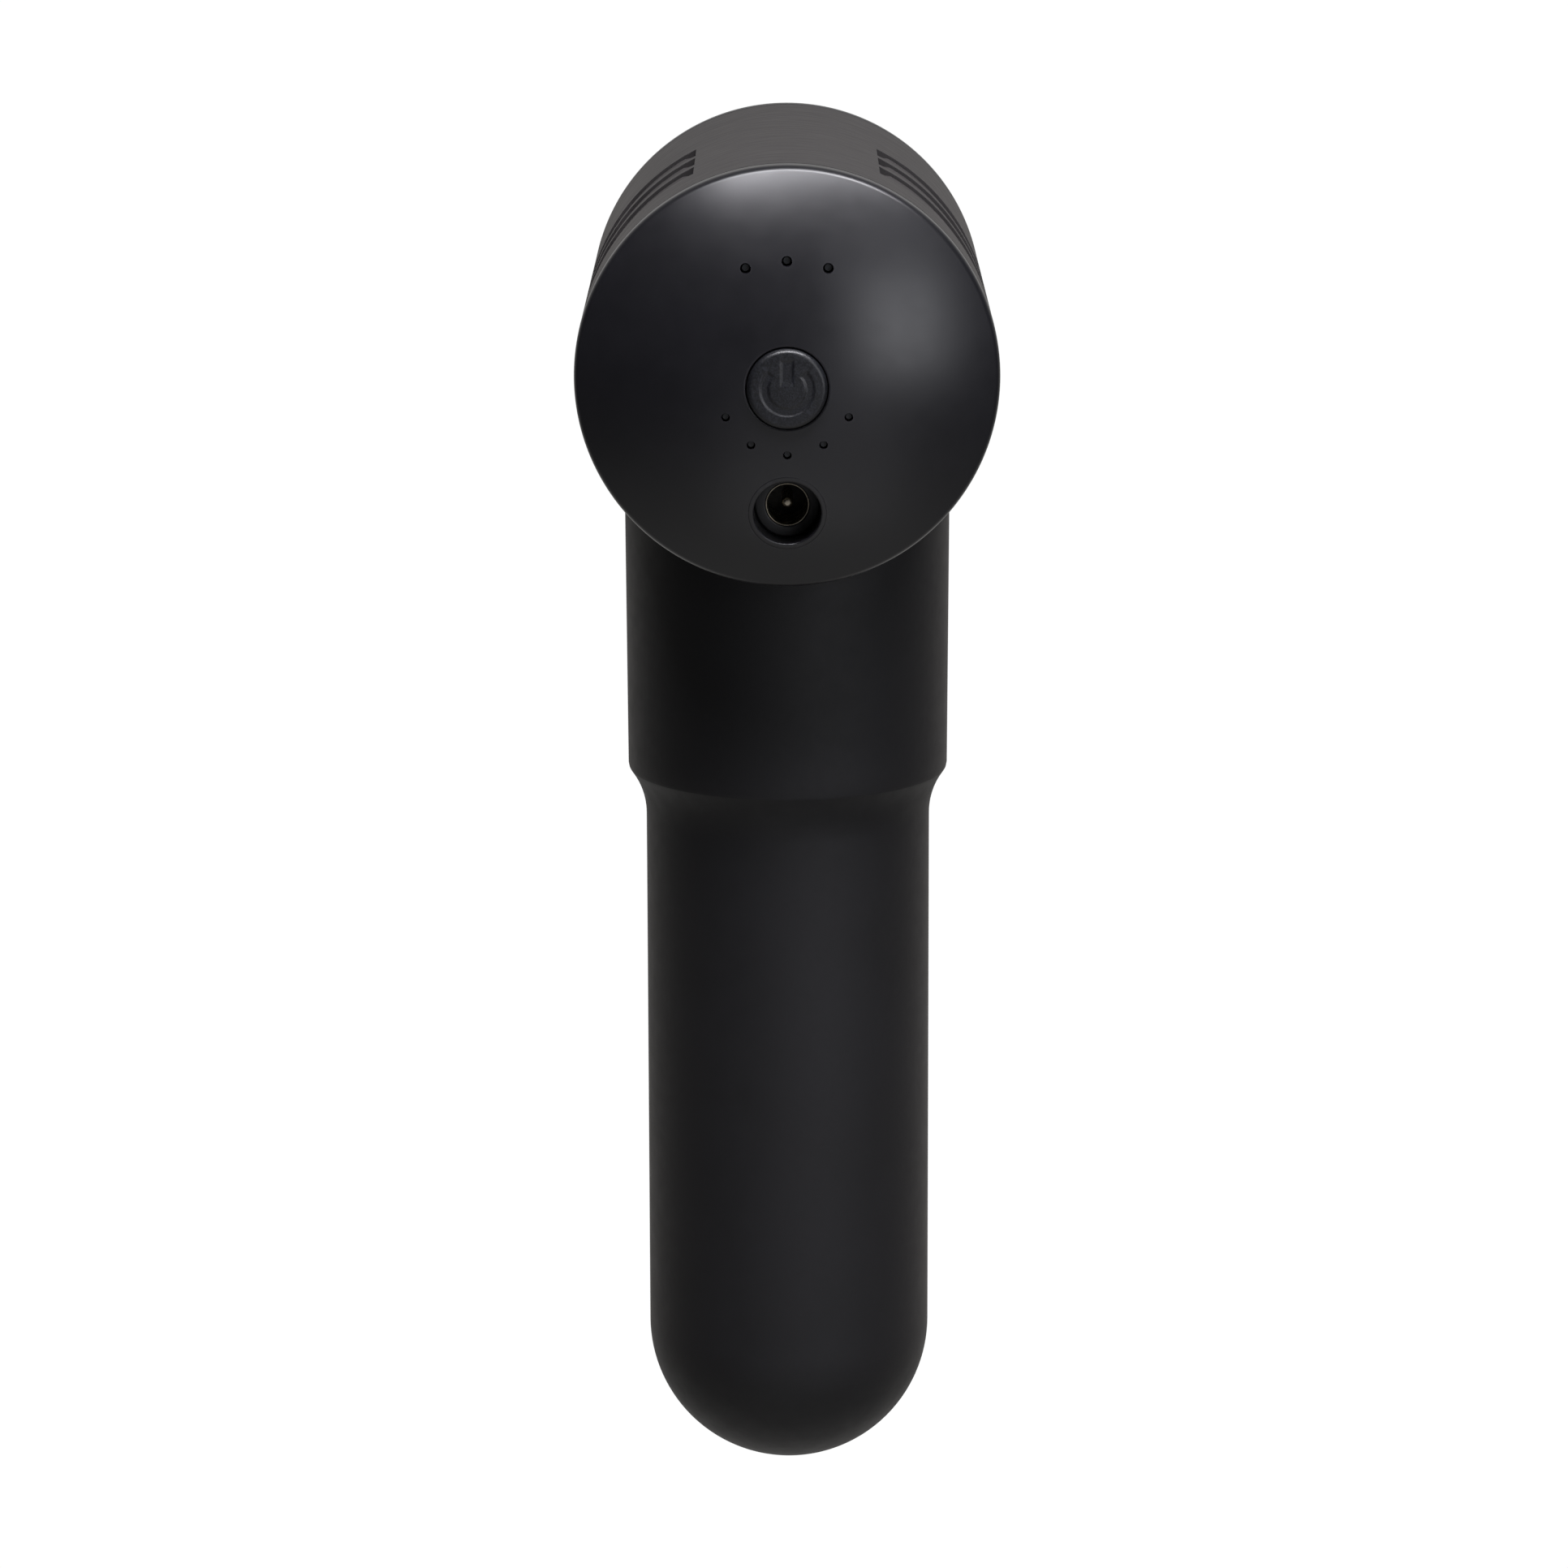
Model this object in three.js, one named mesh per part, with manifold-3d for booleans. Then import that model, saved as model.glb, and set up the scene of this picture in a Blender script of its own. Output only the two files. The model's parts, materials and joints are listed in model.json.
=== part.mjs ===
// A cordless massage gun as a three.js scene graph, in millimetres, +Z up.
//
// The handle stands along Z, with the origin at the middle of the grip. The barrel lies along Y above
// it: the massage head is at +Y, and the rear cap with the power button is at -Y. +X is to the right
// of someone who looks at the rear cap.
//
// Needs the npm packages three and manifold-3d. The default export is the THREE.Group.

import * as THREE from "three";
import { mergeVertices } from "three/addons/utils/BufferGeometryUtils.js";
import Module from "manifold-3d";

const wasm = await Module();
wasm.setup();

// ---------------------------------------------------------------- driving dimensions

// Barrel
const BARREL_AXIS_Z = 120; // height of the barrel's axis above the middle of the grip
const REAR_RADIUS = 32; // the barrel tapers a little towards the front
const FRONT_RADIUS = 31.3;
const CAP_RIM_Y = -40; // where the rear cap is widest
const CAP_SIDE = 2; // straight side of the cap, ahead of its rim
const SEAM = 0.4; // gap between the barrel and each cap
const BARREL_FRONT_Y = 34.5;
const BARREL_WALL = 2.5;

// Rear cap
const CAP_HEIGHT = 10.4; // the dome's apex stands this far behind the rim
const CAP_EDGE_RADIUS = 1.6;
const CAP_WALL = 2.2;
const BUTTON_RADIUS = 6;
const BUTTON_GAP = 0.3;
const BUTTON_PROUD = 0.9;
const BUTTON_TRAVEL = 0.6;
const SPEED_LIGHTS = { count: 3, radius: 18.6, pitch: 19.3, hole: 0.8 };
const CHARGE_LIGHTS = { count: 5, radius: 10.2, pitch: 32, hole: 0.65 };

// Charging socket
const JACK_DROP = 19.5; // below the barrel's axis
const JACK_RECESS_RADIUS = 5.05;
const JACK_FACE_Y = -40;
const JACK_BORE_RADIUS = 3.1;
const JACK_BLOCK_Y = JACK_FACE_Y + 1; // the square block behind the round face
const JACK_BLOCK_HALF = 5.3;
const BEZEL_WALL = 0.8; // ring that lines the recess
const BEZEL_GAP = 0.15; // between the ring and the cap
const BEZEL_FLANGE_RADIUS = 6.8;

// Vents, on both sides of the barrel
const VENT_COUNT = 3;
const VENT_WIDTH = 7.8;
const VENT_RIB = 2.6;
const VENT_START_Y = -24.7;
const VENT_TOP_ANGLE = 26.4; // degrees from the top of the barrel
const VENT_END_ANGLE = 100;

// Handle
const NECK_RADIUS_TOP = 25.5;
const NECK_RADIUS = 25.2; // at the step
const GRIP_RADIUS = 22.4;
const STEP_Z = 51.6; // the neck ends here
const STEP_EDGE = 0.9; // height of the rounded edge
const STEP_FILLET_RADIUS = 12.7; // hollow curve from the edge into the grip
const STEP_FILLET_SWEEP = 36; // degrees
const DOME_Z = -40.8; // the rounded end starts here
const DOME_HEIGHT = 22.4;
const SLEEVE_WALL = 1.1;
const CORE_GAP = 0.1; // between the sleeve and the core
const CORE_WALL = 1.5;
const CORE_BOTTOM_Z = -41.1;

// Batteries
const CELL_RADIUS = 9;
const CELL_LENGTH = 65;
const CELL_BOTTOM_Z = -39.5;
const CELL_PITCH_RADIUS = 10.5; // from the handle's axis to each cell's axis

// Motor, on the handle's axis inside the neck
const MOTOR_RADIUS = 20.3;
const MOTOR_BOTTOM_Z = 54;
const MOTOR_TOP_Z = 92;
const MOTOR_SCREW_CIRCLE = 12.5;
const SHAFT_RADIUS = 2.5;
const SHAFT_BOTTOM_Z = 51.4;
const SHAFT_TOP_Z = 107.2;

// Crank and connecting rod
const CRANK_RADIUS = 6; // the stroke is twice this
const CRANK_BOTTOM_Z = 102;
const CRANK_THICKNESS = 5.5;
const ROD_LENGTH = 28; // between the eyes' centres
const ROD_THICKNESS = 7;
const WRIST_Y = ROD_LENGTH - CRANK_RADIUS; // the crank rests at its rear dead centre

// Piston, guide and nose
const PISTON_RADIUS = 11;
const PISTON_REAR_Y = 14.5;
const PISTON_FRONT_Y = 51.5;
const SOCKET_RADIUS = 8.1;
const SOCKET_DEPTH = 16;
const BUSHING_RADIUS = 13.6;
const BUSHING_REAR_Y = 26;
const BUSHING_FRONT_Y = 45;
const NOSE_FRONT_Y = 50;
const NOSE_RADIUS = 17;
const FRAME_WALL_Y = 25.5;
const FRAME_WALL_THICKNESS = 3;
const FRAME_SCREW_CIRCLE = 26.2;
const FRAME_SCREW_ANGLES = [35, 145, 215, 325]; // degrees from the top of the barrel

// Massage head
const STEM_RADIUS = 7.9;
const BALL_RADIUS = 22;
const BALL_CENTRE_Y = 73.5;
const BALL_REAR_FLAT_Y = 54.6;
const BALL_FRONT_FLAT_Y = 93;

const CLEARANCE = 0.3; // between pieces that lie face to face

// Places that follow from the dimensions above
const DOME_STEPS = 6; // facets from the handle's side to its foot
const SLEEVE_TOP_Z = BARREL_AXIS_Z - 12; // inside the barrel, which trims it
const CAP_SPIGOT_RADIUS = 29.1;
const SEAL_GROOVE_RADIUS = 28;
const PLUG_SPIGOT_RADIUS = 19.4;
const BOARD_Y = -36.2; // the control board's face towards the cap
const SWITCH_FACE_Y = -40.4;
const PLUNGER_TIP_Y = -42.4;
const GUIDE_Y = -38.5; // the light guides' bars
const CELL_TOP_Z = CELL_BOTTOM_Z + CELL_LENGTH;
const HOLDER_TOP_Z = CELL_TOP_Z + 3.1;
const BELL_BOTTOM_Z = MOTOR_BOTTOM_Z - 2.6;
const BEARING_RADIUS = 6.5;
const BASE_Z = MOTOR_TOP_Z + CLEARANCE; // the drive frame's base
const BASE_THICKNESS = 3;
const CHEEK_X = 19.6;
const FAN_RADIUS = 16.5;
const COUNTERWEIGHT_RADIUS = 17;
const BIG_END_RADIUS = 7.9;
const WRIST_PIN_RADIUS = 3;
const STEM_REAR_Y = PISTON_FRONT_Y - SOCKET_DEPTH + 0.5;
const STEM_FRONT_Y = 64;

const FINE = 28; // sides of the barrel and the handle
const MEDIUM = 18;
const SMALL = 12;
const TINY = 6;

// ---------------------------------------------------------------- materials

const plastic = (color, roughness) => new THREE.MeshStandardMaterial({ color, roughness, metalness: 0 });
const metal = (color, roughness) => new THREE.MeshStandardMaterial({ color, roughness, metalness: 1 });

const MATERIALS = {
  soft_touch: plastic(0x2c2c2f, 0.62),
  cap_plastic: plastic(0x242427, 0.42),
  silicone: plastic(0x242426, 0.7),
  button: plastic(0x3b3d42, 0.55),
  inner_plastic: plastic(0x1d1e20, 0.6),
  rubber: plastic(0x151515, 0.85),
  foam: plastic(0x26262a, 0.9),
  bushing: plastic(0xd8d4c8, 0.4),
  light_guide: plastic(0xdfe3e6, 0.2),
  board: plastic(0x1f5a34, 0.5),
  battery_wrap: plastic(0x2f6f9e, 0.45),
  copper: metal(0xb0703c, 0.45),
  steel: metal(0xb9bcc0, 0.3),
  alloy: metal(0xa7abb0, 0.4),
  brass: metal(0xc9a55a, 0.3),
  magnet: metal(0x6d6f73, 0.45),
  lead_wire: plastic(0x9c2020, 0.5),
};

// ---------------------------------------------------------------- geometry helpers

const radians = THREE.MathUtils.degToRad;
const degrees = THREE.MathUtils.radToDeg;

// A closed geometry as a manifold-3d solid.
function solid(geometry) {
  const bare = geometry.clone();
  bare.deleteAttribute("normal");
  bare.deleteAttribute("uv");
  const merged = mergeVertices(bare, 1e-4);
  const mesh = new wasm.Mesh({
    numProp: 3,
    vertProperties: new Float32Array(merged.attributes.position.array),
    triVerts: new Uint32Array(merged.index.array),
  });
  return new wasm.Manifold(mesh);
}

// A manifold-3d solid as a geometry again, with flat-shaded normals.
function geometryOf(made) {
  const mesh = made.getMesh();
  const geometry = new THREE.BufferGeometry();
  geometry.setAttribute("position", new THREE.BufferAttribute(mesh.vertProperties, 3));
  geometry.setIndex(new THREE.BufferAttribute(mesh.triVerts, 1));
  const flat = geometry.toNonIndexed();
  flat.computeVertexNormals();
  return flat;
}

const join = (first, ...others) => geometryOf(others.reduce((sum, g) => sum.add(solid(g)), solid(first)));
const cut = (first, ...tools) => geometryOf(tools.reduce((rest, g) => rest.subtract(solid(g)), solid(first)));
const common = (first, second) => geometryOf(solid(first).intersect(solid(second)));

// A closed outline of [radius, height] points turned about the Y axis. Its direction doesn't matter.
function turned(outline, sides) {
  const points = outline.map(([radius, height]) => new THREE.Vector2(radius, height));
  const loop = THREE.ShapeUtils.area(points) < 0 ? points.slice().reverse() : points;
  const onAxis = (point) => Math.abs(point.x) < 1e-6;
  if (!onAxis(loop[0]) || !onAxis(loop[loop.length - 1])) loop.push(loop[0].clone());
  return new THREE.LatheGeometry(loop, sides);
}

// The same about the Z axis.
const turnedZ = (outline, sides) => turned(outline, sides).rotateX(Math.PI / 2);

// Cylinders along each axis, from one end to the other.
const pinY = (radius, y0, y1, x = 0, z = 0, sides = SMALL) =>
  new THREE.CylinderGeometry(radius, radius, y1 - y0, sides).translate(x, (y0 + y1) / 2, z);
const pinZ = (radius, z0, z1, x = 0, y = 0, sides = SMALL) =>
  new THREE.CylinderGeometry(radius, radius, z1 - z0, sides)
    .rotateX(Math.PI / 2)
    .translate(x, y, (z0 + z1) / 2);

// A box between two corners.
const block = (x0, x1, y0, y1, z0, z1) =>
  new THREE.BoxGeometry(x1 - x0, y1 - y0, z1 - z0).translate((x0 + x1) / 2, (y0 + y1) / 2, (z0 + z1) / 2);

// A ring along Y or Z.
const ringY = (inner, outer, y0, y1, sides = MEDIUM) =>
  turned([[inner, y0], [outer, y0], [outer, y1], [inner, y1]], sides);
const ringZ = (inner, outer, z0, z1, sides = MEDIUM) =>
  turnedZ([[inner, z0], [outer, z0], [outer, z1], [inner, z1]], sides);

// A seal ring of a round section about the Y axis.
function sealRing(middle, section, y, sides) {
  const corners = 6;
  const outline = Array.from({ length: corners }, (_, i) => {
    const turn = (2 * Math.PI * i) / corners;
    return [middle + section * Math.cos(turn), y + section * Math.sin(turn)];
  });
  return turned(outline, sides);
}

// A shape drawn in x and z, extruded along Y from y0 to y1.
const alongY = (shape, y0, y1, curveSegments = 9) =>
  new THREE.ExtrudeGeometry(shape, { depth: y1 - y0, bevelEnabled: false, curveSegments })
    .rotateX(Math.PI / 2)
    .translate(0, y1, 0);

// A shape drawn in x and y, extruded along Z from z0 to z1.
const alongZ = (shape, z0, z1, curveSegments = 9) =>
  new THREE.ExtrudeGeometry(shape, { depth: z1 - z0, bevelEnabled: false, curveSegments })
    .translate(0, 0, z0);

// Points of an arc about [centreR, centreH], from one angle to another, in degrees.
function arc(centreR, centreH, radiusR, radiusH, from, to, steps) {
  return Array.from({ length: steps + 1 }, (_, i) => {
    const angle = radians(from + ((to - from) * i) / steps);
    return [centreR + radiusR * Math.cos(angle), centreH + radiusH * Math.sin(angle)];
  });
}

// A point on a circle about the barrel's axis, by its angle from the top, clockwise from behind.
function aroundBarrel(radius, angle) {
  const turn = radians(angle);
  return [radius * Math.sin(turn), radius * Math.cos(turn)];
}

// A tube of eight sides along a smooth curve.
function lead(points, radius, steps) {
  const path = new THREE.CatmullRomCurve3(points.map((p) => new THREE.Vector3(...p)));
  const section = new THREE.Shape(
    Array.from({ length: 8 }, (_, i) => {
      const turn = (Math.PI * i) / 4;
      return new THREE.Vector2(radius * Math.cos(turn), radius * Math.sin(turn));
    }),
  );
  return new THREE.ExtrudeGeometry(section, { steps, extrudePath: path, bevelEnabled: false });
}

// ---------------------------------------------------------------- outlines that pieces share

const barrelRadius = (y) =>
  REAR_RADIUS + ((FRONT_RADIUS - REAR_RADIUS) * (y - CAP_RIM_Y)) / (BARREL_FRONT_Y - CAP_RIM_Y);

const BARREL_REAR_Y = CAP_RIM_Y + CAP_SIDE + SEAM;

// The cap's dome is a sphere that meets its side in a small rounded edge.
const EDGE_CENTRE_R = REAR_RADIUS - CAP_EDGE_RADIUS;
const DOME_SPHERE_RADIUS =
  (EDGE_CENTRE_R ** 2 + CAP_HEIGHT ** 2 - CAP_EDGE_RADIUS ** 2) / (2 * (CAP_HEIGHT - CAP_EDGE_RADIUS));
const DOME_SPHERE_Y = CAP_RIM_Y - CAP_HEIGHT + DOME_SPHERE_RADIUS;
const DOME_EDGE_ANGLE = degrees(Math.asin(EDGE_CENTRE_R / (DOME_SPHERE_RADIUS - CAP_EDGE_RADIUS)));

// The dome's y at a distance from the barrel's axis, at a depth below its outer face.
const domeY = (radius, depth) =>
  DOME_SPHERE_Y - Math.sqrt((DOME_SPHERE_RADIUS - depth) ** 2 - radius ** 2);

// The places of a row of lights about the barrel's axis, centred on an angle.
function lightPlaces({ count, radius, pitch }, centreAngle) {
  return Array.from({ length: count }, (_, i) =>
    aroundBarrel(radius, centreAngle + (i - (count - 1) / 2) * pitch),
  );
}
const SPEED_PLACES = lightPlaces(SPEED_LIGHTS, 0);
const CHARGE_PLACES = lightPlaces(CHARGE_LIGHTS, 180);

// The handle's core, one gap inside the sleeve.
const CORE_GRIP_RADIUS = GRIP_RADIUS - SLEEVE_WALL - CORE_GAP;
const CORE_NECK_RADIUS = NECK_RADIUS - SLEEVE_WALL - CORE_GAP;
const NECK_BORE_RADIUS = 22.4;
const GRIP_BORE_RADIUS = CORE_GRIP_RADIUS - CORE_WALL;
const STEP_BOTTOM_Z = STEP_Z - STEP_EDGE - STEP_FILLET_RADIUS * Math.sin(radians(STEP_FILLET_SWEEP));

// ---------------------------------------------------------------- housing

// Barrel and handle core in one moulding, open at both ends of the barrel and at the handle's foot.
function mainHousing() {
  const top = BARREL_AXIS_Z;
  const barrel = turned(
    [
      [0, BARREL_REAR_Y],
      [barrelRadius(BARREL_REAR_Y), BARREL_REAR_Y],
      [FRONT_RADIUS, BARREL_FRONT_Y],
      [0, BARREL_FRONT_Y],
    ],
    FINE,
  ).translate(0, 0, top);
  const core = turnedZ(
    [
      [0, CORE_BOTTOM_Z],
      [CORE_GRIP_RADIUS, CORE_BOTTOM_Z],
      [CORE_GRIP_RADIUS, STEP_BOTTOM_Z + 2.5],
      [CORE_NECK_RADIUS, STEP_Z + 0.8],
      [CORE_NECK_RADIUS, top - 12],
      [0, top - 12],
    ],
    FINE,
  );
  const barrelBore = turned(
    [
      [0, BARREL_REAR_Y - 1],
      [barrelRadius(BARREL_REAR_Y) - BARREL_WALL, BARREL_REAR_Y - 1],
      [FRONT_RADIUS - BARREL_WALL, BARREL_FRONT_Y + 1],
      [0, BARREL_FRONT_Y + 1],
    ],
    FINE,
  ).translate(0, 0, top);
  const handleBore = turnedZ(
    [
      [0, CORE_BOTTOM_Z - 1],
      [GRIP_BORE_RADIUS, CORE_BOTTOM_Z - 1],
      [GRIP_BORE_RADIUS, STEP_BOTTOM_Z + 1.5],
      [NECK_BORE_RADIUS, STEP_Z + 0.4],
      [NECK_BORE_RADIUS, top - 10],
      [0, top - 10],
    ],
    FINE,
  );
  const shell = cut(join(barrel, core), barrelBore, handleBore, ...ventCutters());
  return cut(join(shell, ...screwBosses()), ...screwHoles());
}

// Slots through the barrel's wall, the same on both sides.
function ventCutters() {
  const inner = FRONT_RADIUS - 2 * BARREL_WALL;
  const outer = REAR_RADIUS + BARREL_WALL;
  const cutters = [];
  for (const side of [1, -1]) {
    const steps = 6;
    const angles = Array.from(
      { length: steps + 1 },
      (_, i) => side * (VENT_TOP_ANGLE + ((VENT_END_ANGLE - VENT_TOP_ANGLE) * i) / steps),
    );
    const outline = [
      ...angles.map((a) => aroundBarrel(outer, a)),
      ...angles.reverse().map((a) => aroundBarrel(inner, a)),
    ];
    const shape = new THREE.Shape(outline.map((p) => new THREE.Vector2(...p)));
    for (let i = 0; i < VENT_COUNT; i++) {
      const start = VENT_START_Y + i * (VENT_WIDTH + VENT_RIB);
      cutters.push(alongY(shape, start, start + VENT_WIDTH).translate(0, 0, BARREL_AXIS_Z));
    }
  }
  return cutters;
}

const frameScrewPlaces = () => FRAME_SCREW_ANGLES.map((a) => aroundBarrel(FRAME_SCREW_CIRCLE, a));

// Bosses inside the barrel that take the drive frame's screws.
const screwBosses = () =>
  frameScrewPlaces().map(([x, z]) =>
    pinY(3, FRAME_WALL_Y - 7.5, FRAME_WALL_Y - CLEARANCE, x, z + BARREL_AXIS_Z, TINY),
  );
const screwHoles = () =>
  frameScrewPlaces().map(([x, z]) => pinY(1.6, FRAME_WALL_Y - 7, FRAME_WALL_Y, x, z + BARREL_AXIS_Z, TINY));

// A cup of silicone over the neck, the grip and the rounded end, cut away under the barrel.
function gripSleeve() {
  const fillet = arc(
    GRIP_RADIUS + STEP_FILLET_RADIUS,
    STEP_BOTTOM_Z,
    STEP_FILLET_RADIUS,
    STEP_FILLET_RADIUS,
    180,
    180 - STEP_FILLET_SWEEP,
    3,
  );
  const cup = turnedZ(
    [
      ...arc(0, DOME_Z, GRIP_RADIUS, DOME_HEIGHT, -90, 0, DOME_STEPS),
      ...fillet,
      [NECK_RADIUS - 0.12, STEP_Z - STEP_EDGE / 2],
      [NECK_RADIUS, STEP_Z],
      [NECK_RADIUS_TOP, SLEEVE_TOP_Z],
      [NECK_RADIUS - SLEEVE_WALL, SLEEVE_TOP_Z],
      [NECK_RADIUS - SLEEVE_WALL, STEP_Z + 0.8],
      [GRIP_RADIUS - SLEEVE_WALL, STEP_BOTTOM_Z + 2.5],
      ...arc(0, DOME_Z, GRIP_RADIUS - SLEEVE_WALL, DOME_HEIGHT - SLEEVE_WALL, 0, -90, DOME_STEPS),
    ],
    FINE,
  );
  const reach = 60;
  const barrel = turned(
    [
      [0, -reach],
      [barrelRadius(-reach) + CLEARANCE, -reach],
      [barrelRadius(reach) + CLEARANCE, reach],
      [0, reach],
    ],
    FINE,
  ).translate(0, 0, BARREL_AXIS_Z);
  return cut(cup, barrel);
}

// Hollow rounded plug that closes the core's foot, with a spigot that goes up into it.
function handleEndPlug() {
  const rim = PLUG_SPIGOT_RADIUS;
  const inner = rim - 1.6;
  const seat = CORE_BOTTOM_Z - CLEARANCE;
  const outer = GRIP_RADIUS - SLEEVE_WALL - 0.2;
  const depth = DOME_HEIGHT - SLEEVE_WALL - 0.2;
  const spigotTop = CELL_BOTTOM_Z - 0.4;
  const hollowDepth = 16.5;
  return turnedZ(
    [
      ...arc(0, DOME_Z, outer, depth, -90, -90 / DOME_STEPS, DOME_STEPS - 1),
      [outer - 0.1, seat],
      [rim, seat],
      [rim, spigotTop],
      [inner, spigotTop],
      ...arc(0, seat - 0.5, inner, hollowDepth, 0, -90, 4),
    ],
    MEDIUM,
  );
}

// ---------------------------------------------------------------- rear cap and its controls

// A solid under the dome, a little below its outer face, that trims what stands behind the dome.
const domeFill = (depth, radius) =>
  turned([...domeArc(depth, radius, 6), [radius, CAP_RIM_Y + CAP_SIDE], [0, CAP_RIM_Y + CAP_SIDE]], FINE);

// The dome's points from the barrel's axis out to a radius, at a depth below the outer face.
function domeArc(depth, radius, steps) {
  return Array.from({ length: steps + 1 }, (_, i) => {
    const r = (radius * i) / steps;
    return [r, domeY(r, depth)];
  });
}

const CAP_FAR_Y = CAP_RIM_Y - CAP_HEIGHT - 1; // clear of the dome

function rearCap() {
  const side = CAP_RIM_Y + CAP_SIDE;
  const edgeStart = DOME_SPHERE_RADIUS * Math.sin(radians(DOME_EDGE_ANGLE));
  const edge = arc(EDGE_CENTRE_R, CAP_RIM_Y, CAP_EDGE_RADIUS, CAP_EDGE_RADIUS, DOME_EDGE_ANGLE - 90, 0, 2);
  const spigotInner = CAP_SPIGOT_RADIUS - 2.3;
  const shell = turned(
    [
      ...domeArc(0, edgeStart, 6),
      ...edge.slice(1),
      [REAR_RADIUS, side],
      [CAP_SPIGOT_RADIUS, side],
      [CAP_SPIGOT_RADIUS, side + 1.5],
      [SEAL_GROOVE_RADIUS, side + 1.5],
      [SEAL_GROOVE_RADIUS, side + 3.3],
      [CAP_SPIGOT_RADIUS, side + 3.3],
      [CAP_SPIGOT_RADIUS, side + 6],
      [spigotInner, side + 6],
      ...domeArc(CAP_WALL, spigotInner, 4).reverse(),
    ],
    FINE,
  );
  const lightHole = (radius) => ([x, z]) => pinY(radius, CAP_FAR_Y, CAP_RIM_Y, x, z, TINY);
  return cut(
    shell,
    pinY(BUTTON_RADIUS + BUTTON_GAP, CAP_FAR_Y, CAP_RIM_Y, 0, 0, MEDIUM),
    pinY(JACK_RECESS_RADIUS + BEZEL_WALL + BEZEL_GAP, CAP_FAR_Y, CAP_RIM_Y, 0, -JACK_DROP, MEDIUM),
    ...SPEED_PLACES.map(lightHole(SPEED_LIGHTS.hole)),
    ...CHARGE_PLACES.map(lightHole(CHARGE_LIGHTS.hole)),
  );
}

// A crowned button with a flange behind the cap's wall and a post that meets the plunger.
function powerButton() {
  const face = CAP_RIM_Y - CAP_HEIGHT - BUTTON_PROUD;
  const flange = domeY(BUTTON_RADIUS, CAP_WALL) + 0.7;
  return turned(
    [
      [0, face],
      [BUTTON_RADIUS - 2, face + 0.03],
      [BUTTON_RADIUS - 0.5, face + 0.12],
      [BUTTON_RADIUS - 0.15, face + 0.28],
      [BUTTON_RADIUS, face + 0.65],
      [BUTTON_RADIUS, flange],
      [BUTTON_RADIUS + 1.2, flange],
      [BUTTON_RADIUS + 1.2, flange + 0.8],
      [2, flange + 0.8],
      [2, PLUNGER_TIP_Y - CLEARANCE],
      [0, PLUNGER_TIP_Y - CLEARANCE],
    ],
    MEDIUM,
  );
}

const switchPlunger = () => pinY(1.7, PLUNGER_TIP_Y, SWITCH_FACE_Y - BUTTON_TRAVEL - 0.1, 0, 0, SMALL);
const tactSwitch = () => block(-3.1, 3.1, SWITCH_FACE_Y, BOARD_Y - CLEARANCE, -3.1, 3.1);

// Clear posts behind the speed lights, on one bar.
function speedLightGuide() {
  const [bar, back] = [GUIDE_Y, GUIDE_Y + 1.2];
  const tip = domeY(SPEED_LIGHTS.radius, 1);
  const posts = SPEED_PLACES.map(([x, z]) => pinY(SPEED_LIGHTS.hole - 0.25, tip, bar + 0.2, x, z, 8));
  return join(block(-8.2, 8.2, bar, back, 16.2, 20), ...posts);
}

// Clear posts behind the charge lights, on one curved bar.
function chargeLightGuide() {
  const tip = domeY(CHARGE_LIGHTS.radius, 1);
  const posts = CHARGE_PLACES.map(([x, z]) => pinY(CHARGE_LIGHTS.hole - 0.2, tip, GUIDE_Y + 0.2, x, z, 8));
  const reach = 76;
  const angles = Array.from({ length: 13 }, (_, i) => 180 - reach + (2 * reach * i) / 12);
  const outline = [
    ...angles.map((a) => aroundBarrel(CHARGE_LIGHTS.radius + 1.4, a)),
    ...angles.reverse().map((a) => aroundBarrel(CHARGE_LIGHTS.radius - 1.4, a)),
  ];
  const bar = new THREE.Shape(outline.map((p) => new THREE.Vector2(...p)));
  return join(alongY(bar, GUIDE_Y, GUIDE_Y + 1.2), ...posts);
}

// Round board with a notch for the jack, small lights towards the cap, and parts on its far face.
function controlBoard() {
  const back = BOARD_Y + 1.6;
  const small = ([x, z]) => block(x - 0.8, x + 0.8, BOARD_Y - 0.5, BOARD_Y + 0.1, z - 0.5, z + 0.5);
  const board = cut(
    pinY(25.5, BOARD_Y, back, 0, 0, MEDIUM),
    block(-5.9, 5.9, BOARD_Y - 1, back + 1, -27, -JACK_DROP + 6.2),
  );
  return join(
    board,
    ...[...SPEED_PLACES, ...CHARGE_PLACES].map(small),
    block(-12, -3, back - 0.1, back + 3, 6, 12),
    block(3, 11, back - 0.1, back + 1.4, -4, 5),
  );
}

// Ring that lines the socket's recess, flush with the dome, with a flange behind the cap's wall.
function socketBezel() {
  const outer = JACK_RECESS_RADIUS + BEZEL_WALL;
  const flange = JACK_FACE_Y - 1;
  const back = JACK_BLOCK_Y - CLEARANCE;
  const ring = turned(
    [
      [JACK_RECESS_RADIUS, CAP_FAR_Y],
      [outer, CAP_FAR_Y],
      [outer, flange],
      [BEZEL_FLANGE_RADIUS, flange],
      [BEZEL_FLANGE_RADIUS, back],
      [JACK_RECESS_RADIUS, back],
    ],
    MEDIUM,
  ).translate(0, 0, -JACK_DROP);
  return common(ring, domeFill(0.05, CAP_SPIGOT_RADIUS));
}

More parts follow.
